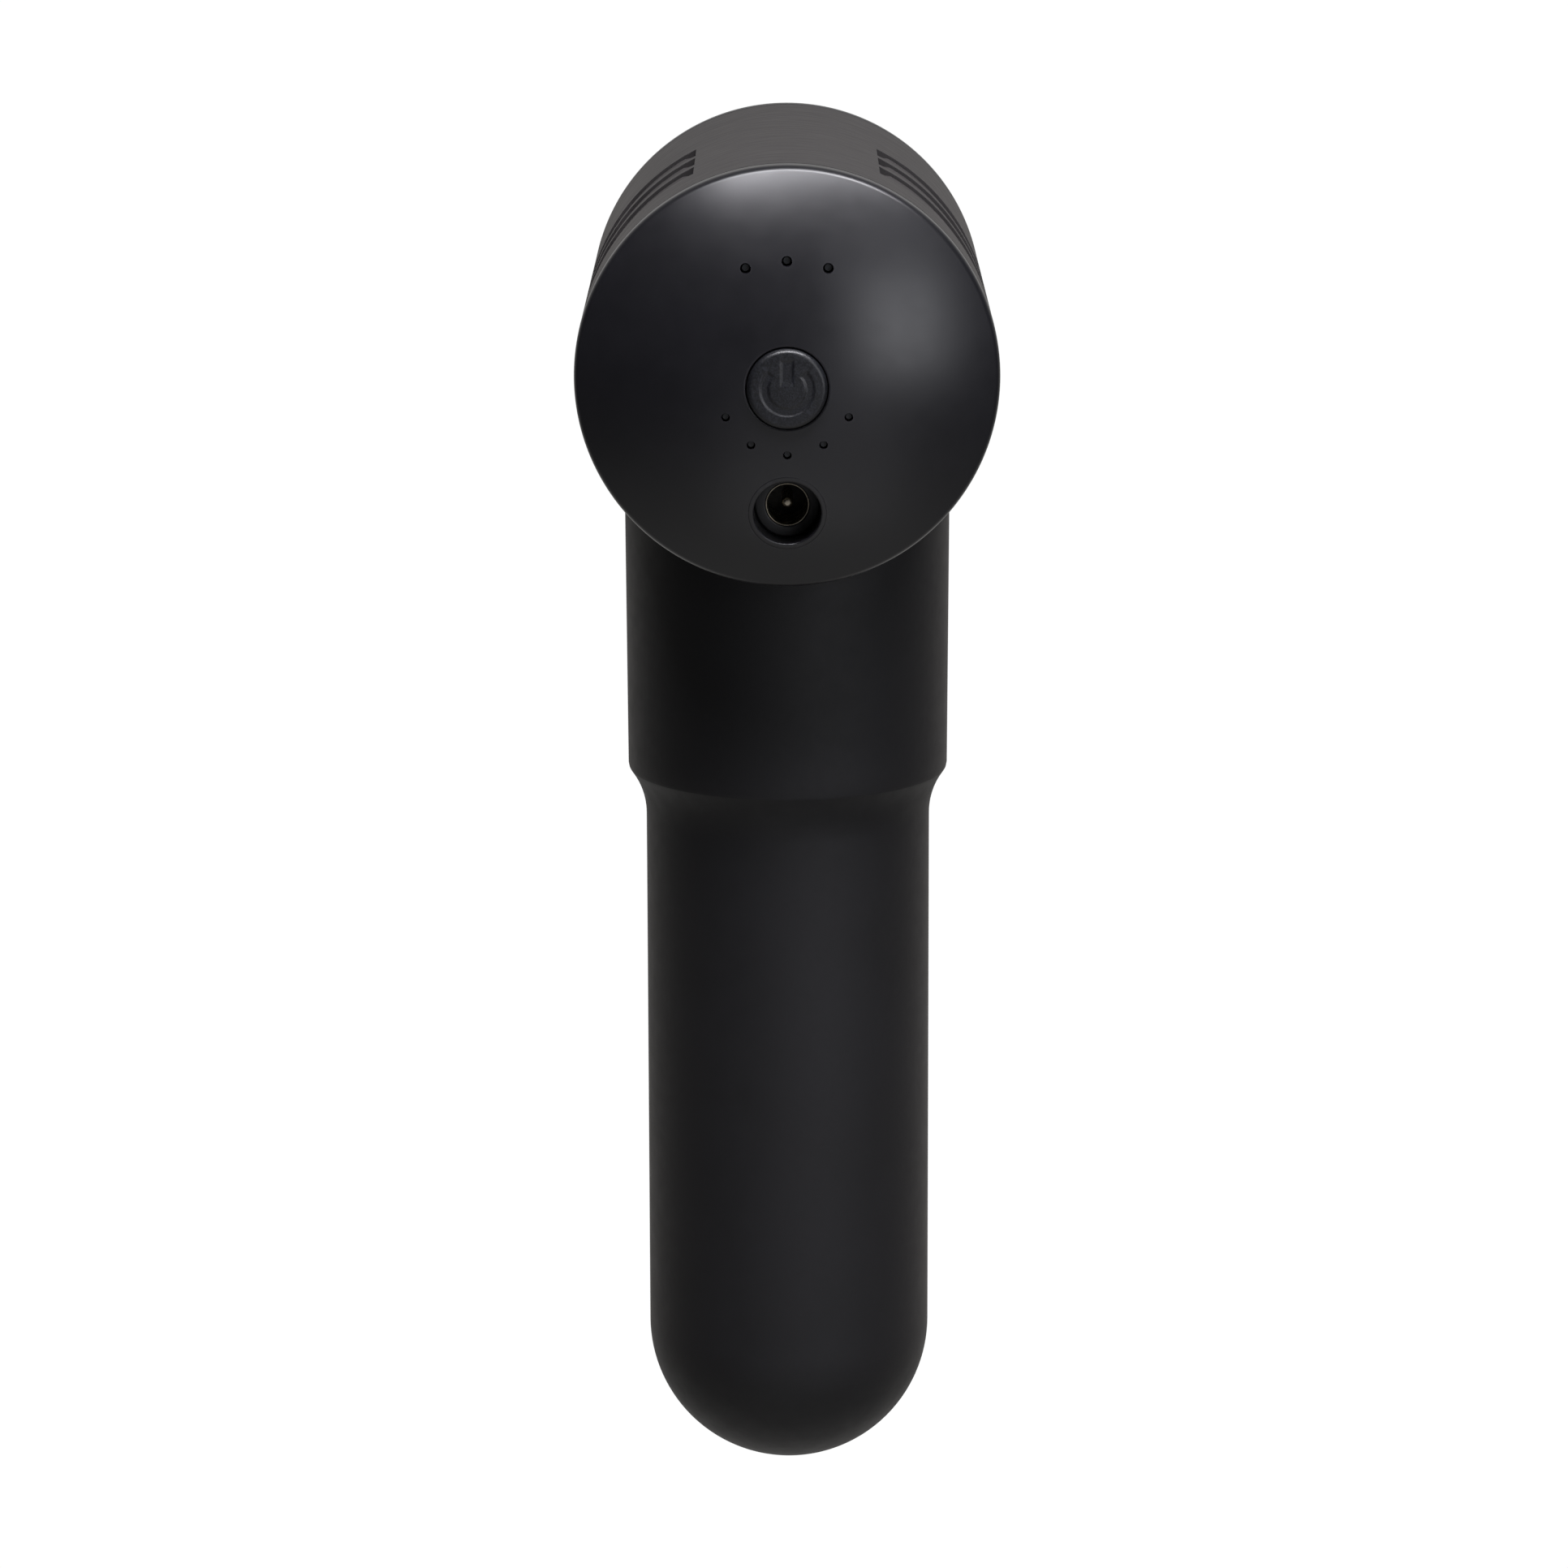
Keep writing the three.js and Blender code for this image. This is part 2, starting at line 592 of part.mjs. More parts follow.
// Socket block: a round face at the bottom of the recess, and a blind bore for the plug.
function jackBody() {
  const half = JACK_BLOCK_HALF;
  return cut(
    join(
      block(-half, half, JACK_BLOCK_Y, JACK_FACE_Y + 11, -JACK_DROP - half, -JACK_DROP + half),
      pinY(JACK_RECESS_RADIUS - BEZEL_GAP, JACK_FACE_Y, JACK_BLOCK_Y + 1, 0, -JACK_DROP, MEDIUM),
    ),
    pinY(JACK_BORE_RADIUS + 0.6, JACK_FACE_Y - 1, JACK_FACE_Y + 9.5, 0, -JACK_DROP, SMALL),
  );
}
const jackSleeve = () =>
  ringY(JACK_BORE_RADIUS, JACK_BORE_RADIUS + 0.5, JACK_FACE_Y, JACK_FACE_Y + 9, SMALL)
    .translate(0, 0, -JACK_DROP);
const jackPin = () => pinY(1, JACK_FACE_Y + 1.5, JACK_FACE_Y + 9.2, 0, -JACK_DROP, TINY);

// ---------------------------------------------------------------- power pack

// A cell with a raised positive contact.
function cell() {
  const shoulder = CELL_TOP_Z - 0.8;
  const contactRadius = 2.9;
  return turnedZ(
    [
      [0, CELL_BOTTOM_Z],
      [CELL_RADIUS, CELL_BOTTOM_Z],
      [CELL_RADIUS, shoulder - 0.2],
      [CELL_RADIUS - 1, shoulder],
      [contactRadius, shoulder],
      [contactRadius, CELL_TOP_Z],
      [0, CELL_TOP_Z],
    ],
    SMALL,
  );
}

// Insulating discs with a hole for the leads.
const lowerCellHolder = () =>
  ringZ(3, PLUG_SPIGOT_RADIUS - 2.1, CORE_BOTTOM_Z, CELL_BOTTOM_Z - CLEARANCE, MEDIUM);
const upperCellHolder = () =>
  ringZ(3, GRIP_BORE_RADIUS - 0.4, CELL_TOP_Z + CLEARANCE, HOLDER_TOP_Z, MEDIUM);

// Upright board with its transistors and a capacitor.
function driverBoard() {
  const z = HOLDER_TOP_Z + 2;
  const chips = [-12, -4.5, 3].map((x) => block(x, x + 5.5, -2.4, -0.7, z + 4, z + 11));
  const capacitor = pinZ(3, z + 3, z + 13, 11, 3.6, SMALL);
  return join(block(-16, 16, -0.8, 0.8, z, z + 18), ...chips, capacitor);
}

// Leads inside the handle: from the charging socket past the motor, from the cells and to the motor.
const chargeLead = () =>
  lead(
    [
      [0, -28.5, 99],
      [0, -24.5, 97.4],
      [0, -21.5, 93],
      [0, -21.5, 75],
      [0, -21.5, 56],
      [0, -21.1, 52.6],
      [0, -19.2, 49.2],
      [0, -12, 46.6],
      [0, -3.2, 46],
    ],
    0.6,
    14,
  );
const batteryLead = () => lead([[-9, -6, 29], [-9, -6.4, 33], [-9, -5, 36], [-9, -3, 37]], 0.7, 4);
const motorLead = () => lead([[9, 6, 50.9], [9, 6.6, 47.5], [9, 4.6, 44.8], [9, 1.6, 44.6]], 0.7, 4);

// ---------------------------------------------------------------- motor

const motorCan = () =>
  cut(
    turnedZ(
      [
        [MOTOR_RADIUS, MOTOR_BOTTOM_Z],
        [MOTOR_RADIUS, MOTOR_TOP_Z],
        [BEARING_RADIUS + 0.2, MOTOR_TOP_Z],
        [BEARING_RADIUS + 0.2, MOTOR_TOP_Z - 5],
        [BEARING_RADIUS + 1.9, MOTOR_TOP_Z - 5],
        [BEARING_RADIUS + 1.9, MOTOR_TOP_Z - 2],
        [MOTOR_RADIUS - 1.6, MOTOR_TOP_Z - 2],
        [MOTOR_RADIUS - 1.6, MOTOR_BOTTOM_Z],
      ],
      MEDIUM,
    ),
    ...motorScrewPlaces().map(([x, y]) => pinZ(1.6, MOTOR_TOP_Z - 3, MOTOR_TOP_Z + 1, x, y, TINY)),
  );

const motorEndBell = () =>
  turnedZ(
    [
      [MOTOR_RADIUS - 0.7, BELL_BOTTOM_Z],
      [MOTOR_RADIUS - 0.7, MOTOR_BOTTOM_Z - CLEARANCE],
      [BEARING_RADIUS + 1.9, MOTOR_BOTTOM_Z - CLEARANCE],
      [BEARING_RADIUS + 1.9, BELL_BOTTOM_Z + 6],
      [BEARING_RADIUS + 0.2, BELL_BOTTOM_Z + 6],
      [BEARING_RADIUS + 0.2, BELL_BOTTOM_Z],
    ],
    MEDIUM,
  );

// Ring of nine wound teeth around the rotor.
function motorStator() {
  const teeth = 9;
  const [tip, slot] = [12.5, 16.8];
  const hole = [];
  for (let i = 0; i < teeth; i++) {
    const middle = (360 * i) / teeth;
    hole.push([tip, middle - 15], [tip, middle], [tip, middle + 15]);
    hole.push([slot, middle + 13], [slot, middle + 27]);
  }
  const ring = new THREE.Shape();
  ring.absarc(0, 0, MOTOR_RADIUS - 2.1, 0, 2 * Math.PI);
  ring.holes.push(
    new THREE.Path(
      hole.map(([r, a]) => new THREE.Vector2(r * Math.cos(radians(a)), r * Math.sin(radians(a)))),
    ),
  );
  return alongZ(ring, MOTOR_BOTTOM_Z + 6, MOTOR_TOP_Z - 7);
}

const bearing = (z0) => ringZ(SHAFT_RADIUS + 0.1, BEARING_RADIUS, z0, z0 + 4.6, SMALL);
const motorShaft = () => pinZ(SHAFT_RADIUS, SHAFT_BOTTOM_Z, SHAFT_TOP_Z);
const rotorMagnet = () => ringZ(SHAFT_RADIUS + 0.1, 12, MOTOR_BOTTOM_Z + 7, MOTOR_TOP_Z - 8, SMALL);

// Centres of the four screws that hold the motor under the drive frame.
function motorScrewPlaces() {
  return [45, 135, 225, 315].map((a) => [
    MOTOR_SCREW_CIRCLE * Math.cos(radians(a)),
    MOTOR_SCREW_CIRCLE * Math.sin(radians(a)),
  ]);
}

const motorScrew = () =>
  turnedZ(
    [
      [0, MOTOR_TOP_Z - 3.5],
      [1.4, MOTOR_TOP_Z - 3.5],
      [1.4, BASE_Z + 1.3],
      [2.6, BASE_Z + 1.3],
      [2.6, BASE_Z + 2.9],
      [0, BASE_Z + 2.9],
    ],
    TINY,
  );

// Radial fan: a disc with straight blades around a hub.
function coolingFan() {
  const z = BASE_Z + BASE_THICKNESS + 1;
  const height = 4.5;
  const blades = Array.from({ length: 9 }, (_, i) =>
    block(-0.5, 0.5, 5, FAN_RADIUS, z + 0.5, z + height).rotateZ(radians(40 * i)),
  );
  const disc = pinZ(FAN_RADIUS, z, z + 0.9, 0, 0, MEDIUM);
  const hub = pinZ(6, z, z + height);
  return cut(join(disc, hub, ...blades), pinZ(SHAFT_RADIUS + 0.1, z - 1, z + height + 1));
}

// ---------------------------------------------------------------- drive frame and nose

// A base over the motor, two cheeks, and a front wall that holds the guide bushing.
function driveFrame() {
  const wall = ringY(BUSHING_RADIUS + 0.3, 28.2, FRAME_WALL_Y, FRAME_WALL_Y + FRAME_WALL_THICKNESS, FINE);
  const cheek = (x) => [
    block(x - 1.4, x + 1.4, -7, 7, BASE_Z + 1, BARREL_AXIS_Z - 17.5),
    block(x - 1.4, x + 1.4, -9, FRAME_WALL_Y + 1, BARREL_AXIS_Z - 18.5, BARREL_AXIS_Z + 6),
  ];
  const frame = join(
    pinZ(22, BASE_Z, BASE_Z + BASE_THICKNESS, 0, 0, MEDIUM),
    wall.translate(0, 0, BARREL_AXIS_Z),
    ...cheek(-CHEEK_X),
    ...cheek(CHEEK_X),
  );
  return cut(
    frame,
    pinZ(SHAFT_RADIUS + 1, BASE_Z - 1, BASE_Z + 5),
    block(-2.2, 2.2, -23, -20, BASE_Z - 1, BASE_Z + 5),
    ...motorScrewPlaces().map(([x, y]) => pinZ(1.6, BASE_Z - 1, BASE_Z + 2, x, y, TINY)),
    ...motorScrewPlaces().map(([x, y]) => pinZ(2.9, BASE_Z + 1, BASE_Z + 5, x, y, TINY)),
    ...frameScrewPlaces().map(([x, z]) => pinY(1.6, 20, 30, x, z + BARREL_AXIS_Z, TINY)),
  );
}

const frameScrew = () => {
  const seat = FRAME_WALL_Y + FRAME_WALL_THICKNESS + 0.1;
  return turned(
    [
      [0, FRAME_WALL_Y - 6.5],
      [1.4, FRAME_WALL_Y - 6.5],
      [1.4, seat],
      [2.6, seat],
      [2.6, seat + 1.8],
      [0, seat + 1.8],
    ],
    TINY,
  );
};

const guideBushing = () =>
  turned(
    [
      [PISTON_RADIUS + 0.1, BUSHING_REAR_Y],
      [BUSHING_RADIUS, BUSHING_REAR_Y],
      [BUSHING_RADIUS, 28.8],
      [BUSHING_RADIUS + 1.9, 28.8],
      [BUSHING_RADIUS + 1.9, 30.4],
      [BUSHING_RADIUS, 30.4],
      [BUSHING_RADIUS, BUSHING_FRONT_Y],
      [PISTON_RADIUS + 0.1, BUSHING_FRONT_Y],
    ],
    MEDIUM,
  );

// Front of the barrel: a rounded edge, a shallow cone and a collar around the piston.
function frontCap() {
  const rear = BARREL_FRONT_Y + SEAM;
  const spigot = FRONT_RADIUS - BARREL_WALL - 0.5;
  const edge = arc(FRONT_RADIUS - 4, rear + 1.5, 4, 4, 0, 70, 3);
  return turned(
    [
      [spigot, rear - 3.6],
      [spigot, rear],
      [FRONT_RADIUS, rear],
      ...edge,
      [NOSE_RADIUS + 1.6, NOSE_FRONT_Y - 6.1],
      [NOSE_RADIUS, NOSE_FRONT_Y - 5],
      [NOSE_RADIUS, NOSE_FRONT_Y - 1],
      [NOSE_RADIUS - 1, NOSE_FRONT_Y],
      [PISTON_RADIUS + 0.9, NOSE_FRONT_Y],
      [PISTON_RADIUS + 0.9, NOSE_FRONT_Y - 2.1],
      [BUSHING_RADIUS + 0.3, NOSE_FRONT_Y - 2.1],
      [BUSHING_RADIUS + 0.3, NOSE_FRONT_Y - 9.5],
      [spigot - 2.3, rear + 2.7],
      [spigot - 2.3, rear - 3.6],
    ],
    FINE,
  );
}

const noseSeal = () =>
  ringY(PISTON_RADIUS + 0.25, BUSHING_RADIUS + 0.1, BUSHING_FRONT_Y + CLEARANCE, NOSE_FRONT_Y - 2.4);

// ---------------------------------------------------------------- crank, rod and piston

// Disc with a counterweight opposite the crank pin's seat, clamped on the shaft by a grub screw.
function crankDisc() {
  const top = CRANK_BOTTOM_Z + CRANK_THICKNESS;
  const sweep = 70;
  const weight = new THREE.Shape();
  weight.moveTo(0, 0);
  weight.absarc(0, 0, COUNTERWEIGHT_RADIUS, radians(90 - sweep), radians(90 + sweep));
  weight.closePath();
  const grubZ = CRANK_BOTTOM_Z + CRANK_THICKNESS / 2;
  return cut(
    join(pinZ(11, CRANK_BOTTOM_Z, top, 0, 0, MEDIUM), alongZ(weight, CRANK_BOTTOM_Z, top)),
    pinZ(SHAFT_RADIUS + 0.1, CRANK_BOTTOM_Z - 1, top + 1),
    pinZ(2.2, CRANK_BOTTOM_Z + 1.5, top + 1, 0, -CRANK_RADIUS, SMALL),
    new THREE.CylinderGeometry(1.3, 1.3, 12, TINY).rotateZ(Math.PI / 2).translate(7, 0, grubZ),
  );
}

const grubScrew = () =>
  new THREE.CylinderGeometry(1.1, 1.1, 5, TINY)
    .rotateZ(Math.PI / 2)
    .translate(SHAFT_RADIUS + 3, 0, CRANK_BOTTOM_Z + CRANK_THICKNESS / 2);

// In the barrel's own frame the rod, its bearings and its pins lie about the plane z = 0.
function connectingRod() {
  const half = ROD_THICKNESS / 2;
  return cut(
    join(
      pinZ(11, -half, half, 0, -CRANK_RADIUS, MEDIUM),
      pinZ(7, -half, half, 0, WRIST_Y, MEDIUM),
      block(-4.2, 4.2, -CRANK_RADIUS, WRIST_Y, -half, half),
    ),
    pinZ(BIG_END_RADIUS + 0.1, -half - 1, half + 1, 0, -CRANK_RADIUS, MEDIUM),
    pinZ(4.5, -half - 1, half + 1, 0, WRIST_Y, SMALL),
  );
}

const bigEndBearing = () =>
  ringZ(4.1, BIG_END_RADIUS, -ROD_THICKNESS / 2, ROD_THICKNESS / 2, MEDIUM).translate(0, -CRANK_RADIUS, 0);
const smallEndBush = () =>
  ringZ(3.15, 4.4, -ROD_THICKNESS / 2, ROD_THICKNESS / 2, SMALL).translate(0, WRIST_Y, 0);

// The pin's foot stops just above the disc, where the real one is screwed in.
function crankPin() {
  const foot = CRANK_BOTTOM_Z + CRANK_THICKNESS + CLEARANCE - BARREL_AXIS_Z;
  const shoulder = -ROD_THICKNESS / 2 - 0.4;
  const top = ROD_THICKNESS / 2 + 0.3;
  return turnedZ(
    [
      [0, foot],
      [5, foot],
      [5, shoulder],
      [4, shoulder],
      [4, top],
      [1.7, top],
      [1.7, -2.4],
      [0, -2.4],
    ],
    SMALL,
  ).translate(0, -CRANK_RADIUS, 0);
}

const crankPinScrew = () =>
  turnedZ(
    [
      [0, -2],
      [1.5, -2],
      [1.5, 4.1],
      [5.2, 4.1],
      [5.2, 6],
      [0, 6],
    ],
    SMALL,
  ).translate(0, -CRANK_RADIUS, 0);

// Plunger with a fork for the rod behind and the head's socket in front.
function piston() {
  const socketFloor = PISTON_FRONT_Y - SOCKET_DEPTH;
  const body = turned(
    [
      [0, PISTON_REAR_Y],
      [PISTON_RADIUS - 1, PISTON_REAR_Y],
      [PISTON_RADIUS, PISTON_REAR_Y + 1],
      [PISTON_RADIUS, PISTON_FRONT_Y - 0.6],
      [PISTON_RADIUS - 0.6, PISTON_FRONT_Y],
      [SOCKET_RADIUS, PISTON_FRONT_Y],
      [SOCKET_RADIUS, socketFloor],
      [0, socketFloor],
    ],
    MEDIUM,
  );
  const slot = ROD_THICKNESS / 2 + 0.4;
  return cut(
    body,
    block(-12, 12, PISTON_REAR_Y - 1, WRIST_Y + 9, -slot, slot),
    pinZ(WRIST_PIN_RADIUS + 0.1, -12, 12, 0, WRIST_Y, SMALL),
  );
}

const wristPin = () => pinZ(WRIST_PIN_RADIUS, -PISTON_RADIUS + 1, PISTON_RADIUS - 1, 0, WRIST_Y, SMALL);

// ---------------------------------------------------------------- massage head

const headStem = () =>
  turned(
    [
      [0, STEM_REAR_Y],
      [STEM_RADIUS - 0.5, STEM_REAR_Y],
      [STEM_RADIUS, STEM_REAR_Y + 0.8],
      [STEM_RADIUS, STEM_REAR_Y + 3],
      [STEM_RADIUS - 0.9, STEM_REAR_Y + 3],
      [STEM_RADIUS - 0.9, STEM_REAR_Y + 5],
      [STEM_RADIUS, STEM_REAR_Y + 5],
      [STEM_RADIUS, PISTON_FRONT_Y + CLEARANCE],
      [11, PISTON_FRONT_Y + CLEARANCE],
      [11, BALL_REAR_FLAT_Y - CLEARANCE],
      [6, BALL_REAR_FLAT_Y - CLEARANCE],
      [6, STEM_FRONT_Y],
      [0, STEM_FRONT_Y],
    ],
    MEDIUM,
  );

// Round foam head with a flat face in front and a socket for the stem behind.
function massageBall() {
  const flatAngle = (y) => degrees(Math.asin((y - BALL_CENTRE_Y) / BALL_RADIUS));
  const rear = flatAngle(BALL_REAR_FLAT_Y);
  const front = flatAngle(BALL_FRONT_FLAT_Y);
  return turned(
    [
      [0, BALL_FRONT_FLAT_Y],
      ...arc(0, BALL_CENTRE_Y, BALL_RADIUS, BALL_RADIUS, front, rear, 8),
      [6.15, BALL_REAR_FLAT_Y],
      [6.15, STEM_FRONT_Y + CLEARANCE],
      [0, STEM_FRONT_Y + CLEARANCE],
    ],
    MEDIUM,
  );
}

// ---------------------------------------------------------------- the assembly

const massageGun = new THREE.Group();
massageGun.name = "massage_gun";

// The pieces of the barrel are drawn about its axis, in a group that stands on the handle.
const barrel = new THREE.Group();
barrel.position.z = BARREL_AXIS_Z;
massageGun.add(barrel);

function add(group, name, geometry, material) {
  const mesh = new THREE.Mesh(geometry, MATERIALS[material]);
  mesh.name = name;
  group.add(mesh);
  return mesh;
}

// Housing
add(massageGun, "main_housing", mainHousing(), "soft_touch");
add(massageGun, "grip_sleeve", gripSleeve(), "silicone");
add(massageGun, "handle_end_plug", handleEndPlug(), "inner_plastic");
add(barrel, "rear_cap", rearCap(), "cap_plastic");
add(barrel, "cap_seal_ring", sealRing(28.75, 0.55, CAP_RIM_Y + CAP_SIDE + 2.4, FINE), "rubber");
add(barrel, "front_cap", frontCap(), "cap_plastic");
add(barrel, "nose_seal", noseSeal(), "rubber");
add(barrel, "guide_bushing", guideBushing(), "bushing");

// Controls and charging socket
add(barrel, "power_button", powerButton(), "button");
add(barrel, "switch_plunger", switchPlunger(), "inner_plastic");
add(barrel, "tact_switch", tactSwitch(), "inner_plastic");
add(barrel, "speed_light_guide", speedLightGuide(), "light_guide");
add(barrel, "charge_light_guide", chargeLightGuide(), "light_guide");
add(barrel, "control_board", controlBoard(), "board");
add(barrel, "socket_bezel", socketBezel(), "cap_plastic");
add(barrel, "jack_body", jackBody(), "inner_plastic");
add(barrel, "jack_sleeve", jackSleeve(), "brass");
add(barrel, "jack_pin", jackPin(), "brass");

// Power pack
for (let i = 0; i < 3; i++) {
  const angle = radians(90 + 120 * i);
  const mesh = add(massageGun, `battery_cell_${i + 1}`, cell(), "battery_wrap");
  mesh.position.set(CELL_PITCH_RADIUS * Math.cos(angle), CELL_PITCH_RADIUS * Math.sin(angle), 0);
}
add(massageGun, "lower_cell_holder", lowerCellHolder(), "inner_plastic");
add(massageGun, "upper_cell_holder", upperCellHolder(), "inner_plastic");
add(massageGun, "driver_board", driverBoard(), "board");
add(massageGun, "charge_lead", chargeLead(), "lead_wire");
add(massageGun, "battery_lead", batteryLead(), "lead_wire");
add(massageGun, "motor_lead", motorLead(), "lead_wire");

// Motor
add(massageGun, "motor_can", motorCan(), "steel");
add(massageGun, "motor_end_bell", motorEndBell(), "alloy");
add(massageGun, "motor_stator", motorStator(), "copper");
add(massageGun, "motor_front_bearing", bearing(MOTOR_TOP_Z - 4.8), "steel");
add(massageGun, "motor_rear_bearing", bearing(BELL_BOTTOM_Z + 0.6), "steel");
add(massageGun, "motor_shaft", motorShaft(), "steel");
add(massageGun, "rotor_magnet", rotorMagnet(), "magnet");
add(massageGun, "cooling_fan", coolingFan(), "inner_plastic");
motorScrewPlaces().forEach(([x, y], i) => {
  add(massageGun, `motor_screw_${i + 1}`, motorScrew(), "steel").position.set(x, y, 0);
});

// Drive frame
add(massageGun, "drive_frame", driveFrame(), "alloy");
frameScrewPlaces().forEach(([x, z], i) => {
  add(barrel, `frame_screw_${i + 1}`, frameScrew(), "steel").position.set(x, 0, z);
});

// Crank, rod and piston
add(massageGun, "crank_disc", crankDisc(), "steel");
add(massageGun, "crank_grub_screw", grubScrew(), "magnet");
add(barrel, "crank_pin", crankPin(), "steel");
add(barrel, "crank_pin_screw", crankPinScrew(), "magnet");
add(barrel, "big_end_bearing", bigEndBearing(), "steel");
add(barrel, "connecting_rod", connectingRod(), "alloy");
add(barrel, "small_end_bush", smallEndBush(), "brass");
add(barrel, "wrist_pin", wristPin(), "steel");
add(barrel, "piston", piston(), "alloy");

// Massage head
add(barrel, "head_stem", headStem(), "inner_plastic");
add(barrel, "stem_seal_ring", sealRing(STEM_RADIUS - 0.35, 0.45, STEM_REAR_Y + 4, MEDIUM), "rubber");
add(barrel, "massage_ball", massageBall(), "foam");

export default massageGun;
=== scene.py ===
"""Looks of a cordless massage gun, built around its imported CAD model. Blender 4.5, in metres."""

import json
import math

import bmesh
import bpy
import numpy as np
from mathutils import Matrix, Vector


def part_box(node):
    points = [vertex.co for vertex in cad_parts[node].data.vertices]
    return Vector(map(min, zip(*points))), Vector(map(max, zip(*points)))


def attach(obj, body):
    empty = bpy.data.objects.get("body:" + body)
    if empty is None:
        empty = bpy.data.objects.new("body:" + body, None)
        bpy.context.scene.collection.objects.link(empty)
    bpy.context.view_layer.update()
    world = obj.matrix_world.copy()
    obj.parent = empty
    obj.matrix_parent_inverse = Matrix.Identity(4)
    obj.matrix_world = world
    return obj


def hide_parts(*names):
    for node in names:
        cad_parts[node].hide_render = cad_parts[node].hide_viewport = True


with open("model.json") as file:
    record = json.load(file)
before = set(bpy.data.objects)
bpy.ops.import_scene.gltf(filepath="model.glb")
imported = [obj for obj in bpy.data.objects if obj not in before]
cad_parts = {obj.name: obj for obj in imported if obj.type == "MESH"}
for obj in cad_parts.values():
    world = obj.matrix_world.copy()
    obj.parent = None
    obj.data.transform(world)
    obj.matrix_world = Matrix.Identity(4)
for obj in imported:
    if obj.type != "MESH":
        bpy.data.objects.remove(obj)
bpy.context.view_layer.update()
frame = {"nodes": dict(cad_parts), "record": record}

MM = 0.001  # outlines below are drawn in millimetres, in the part's own frame

# ---------------------------------------------------------------- places taken from the frame


def box_mm(node):
    """Lowest and highest corner of a CAD node, in millimetres."""
    low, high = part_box(node)
    return low / MM, high / MM


CAP_LOW, CAP_HIGH = box_mm("rear_cap")
HOUSING_LOW, HOUSING_HIGH = box_mm("main_housing")
SLEEVE_LOW = box_mm("grip_sleeve")[0]
BUTTON_LOW, BUTTON_HIGH = box_mm("power_button")
JACK_LOW, JACK_HIGH = box_mm("jack_sleeve")
FRONT_LOW, FRONT_HIGH = box_mm("front_cap")
BALL_LOW, BALL_HIGH = box_mm("massage_ball")
STEM_LOW, STEM_HIGH = box_mm("head_stem")
PISTON_LOW, PISTON_HIGH = box_mm("piston")
BUSHING_LOW, BUSHING_HIGH = box_mm("guide_bushing")

AXIS_Z = (CAP_LOW.z + CAP_HIGH.z) / 2  # the barrel's axis
REAR_RADIUS = (CAP_HIGH.x - CAP_LOW.x) / 2
FRONT_RADIUS = (FRONT_HIGH.x - FRONT_LOW.x) / 2
BARREL_REAR_Y = HOUSING_LOW.y
BARREL_FRONT_Y = HOUSING_HIGH.y
JACK_Z = (JACK_LOW.z + JACK_HIGH.z) / 2
JACK_FACE_Y = JACK_LOW.y

# ---------------------------------------------------------------- dimensions, in millimetres

BARREL_WALL = 2.5
SEAM = 0.4
SEAM_DEPTH = 0.8
CAP_SIDE = 2.0
CAP_RIM_Y = BARREL_REAR_Y - SEAM - CAP_SIDE
BUTTON_PROUD = 0.9
CAP_HEIGHT = CAP_RIM_Y - (BUTTON_LOW.y + BUTTON_PROUD)
CAP_EDGE_RADIUS = 1.6
CAP_WALL = 2.2
SPIGOT_RADIUS = 29.1
SPIGOT_WALL = 2.3
BUTTON_RADIUS = 6.0
BUTTON_HOLE_RADIUS = 6.18
SPEED_LIGHTS = {"count": 3, "radius": 18.6, "pitch": 19.3, "centre": 0, "hole": 0.8}
CHARGE_LIGHTS = {"count": 5, "radius": 10.2, "pitch": 32, "centre": 180, "hole": 0.65}
RECESS_RADIUS = 5.05
BEZEL_RADIUS = 5.85
JACK_BORE_RADIUS = 3.1
JACK_LIP_RADIUS = JACK_BORE_RADIUS + 0.2

SHELL_CELL_Y = 1.6  # the barrel's shell is a grid of cells no larger than this
SHELL_CELL_ANGLE = 1.7
VENT_COUNT = 3
VENT_WIDTH = 7.8
VENT_RIB = 2.6
VENT_START_Y = -24.7
VENT_TOP_ANGLE = 26.4  # from the top of the barrel
VENT_END_ANGLE = 100
LOUVRE_DEEP = 2.1  # below the barrel's outer face, along the vane's rear edge
LOUVRE_SHALLOW = 0.45
LOUVRE_WALL = 0.5
LOUVRE_GAP = 0.55
LOUVRE_SUNK = 2.2
LOUVRE_RUN = 4  # degrees over which the vane rises from its sunk end

NECK_RADIUS_TOP = 25.5
NECK_RADIUS = 25.2
GRIP_RADIUS = 22.4
STEP_Z = 51.6
STEP_EDGE = 0.9
STEP_FILLET_RADIUS = 12.7
STEP_FILLET_SWEEP = 36
STEP_BOTTOM_Z = STEP_Z - STEP_EDGE - STEP_FILLET_RADIUS * math.sin(math.radians(STEP_FILLET_SWEEP))
DOME_Z = -40.8
NECK_FILLET = 3.0  # where the neck runs into the barrel
SLEEVE_WALL = 1.1
CORE_WALL = 1.5
NECK_BORE_RADIUS = 22.4

PISTON_RADIUS = 11.0
SOCKET_RADIUS = 8.1
SOCKET_DEPTH = 16.0
BALL_RADIUS = 22.0
BALL_SOCKET_RADIUS = 6.15

FINE = 224  # sides of the barrel and the handle
MEDIUM = 96
SMALL = 48

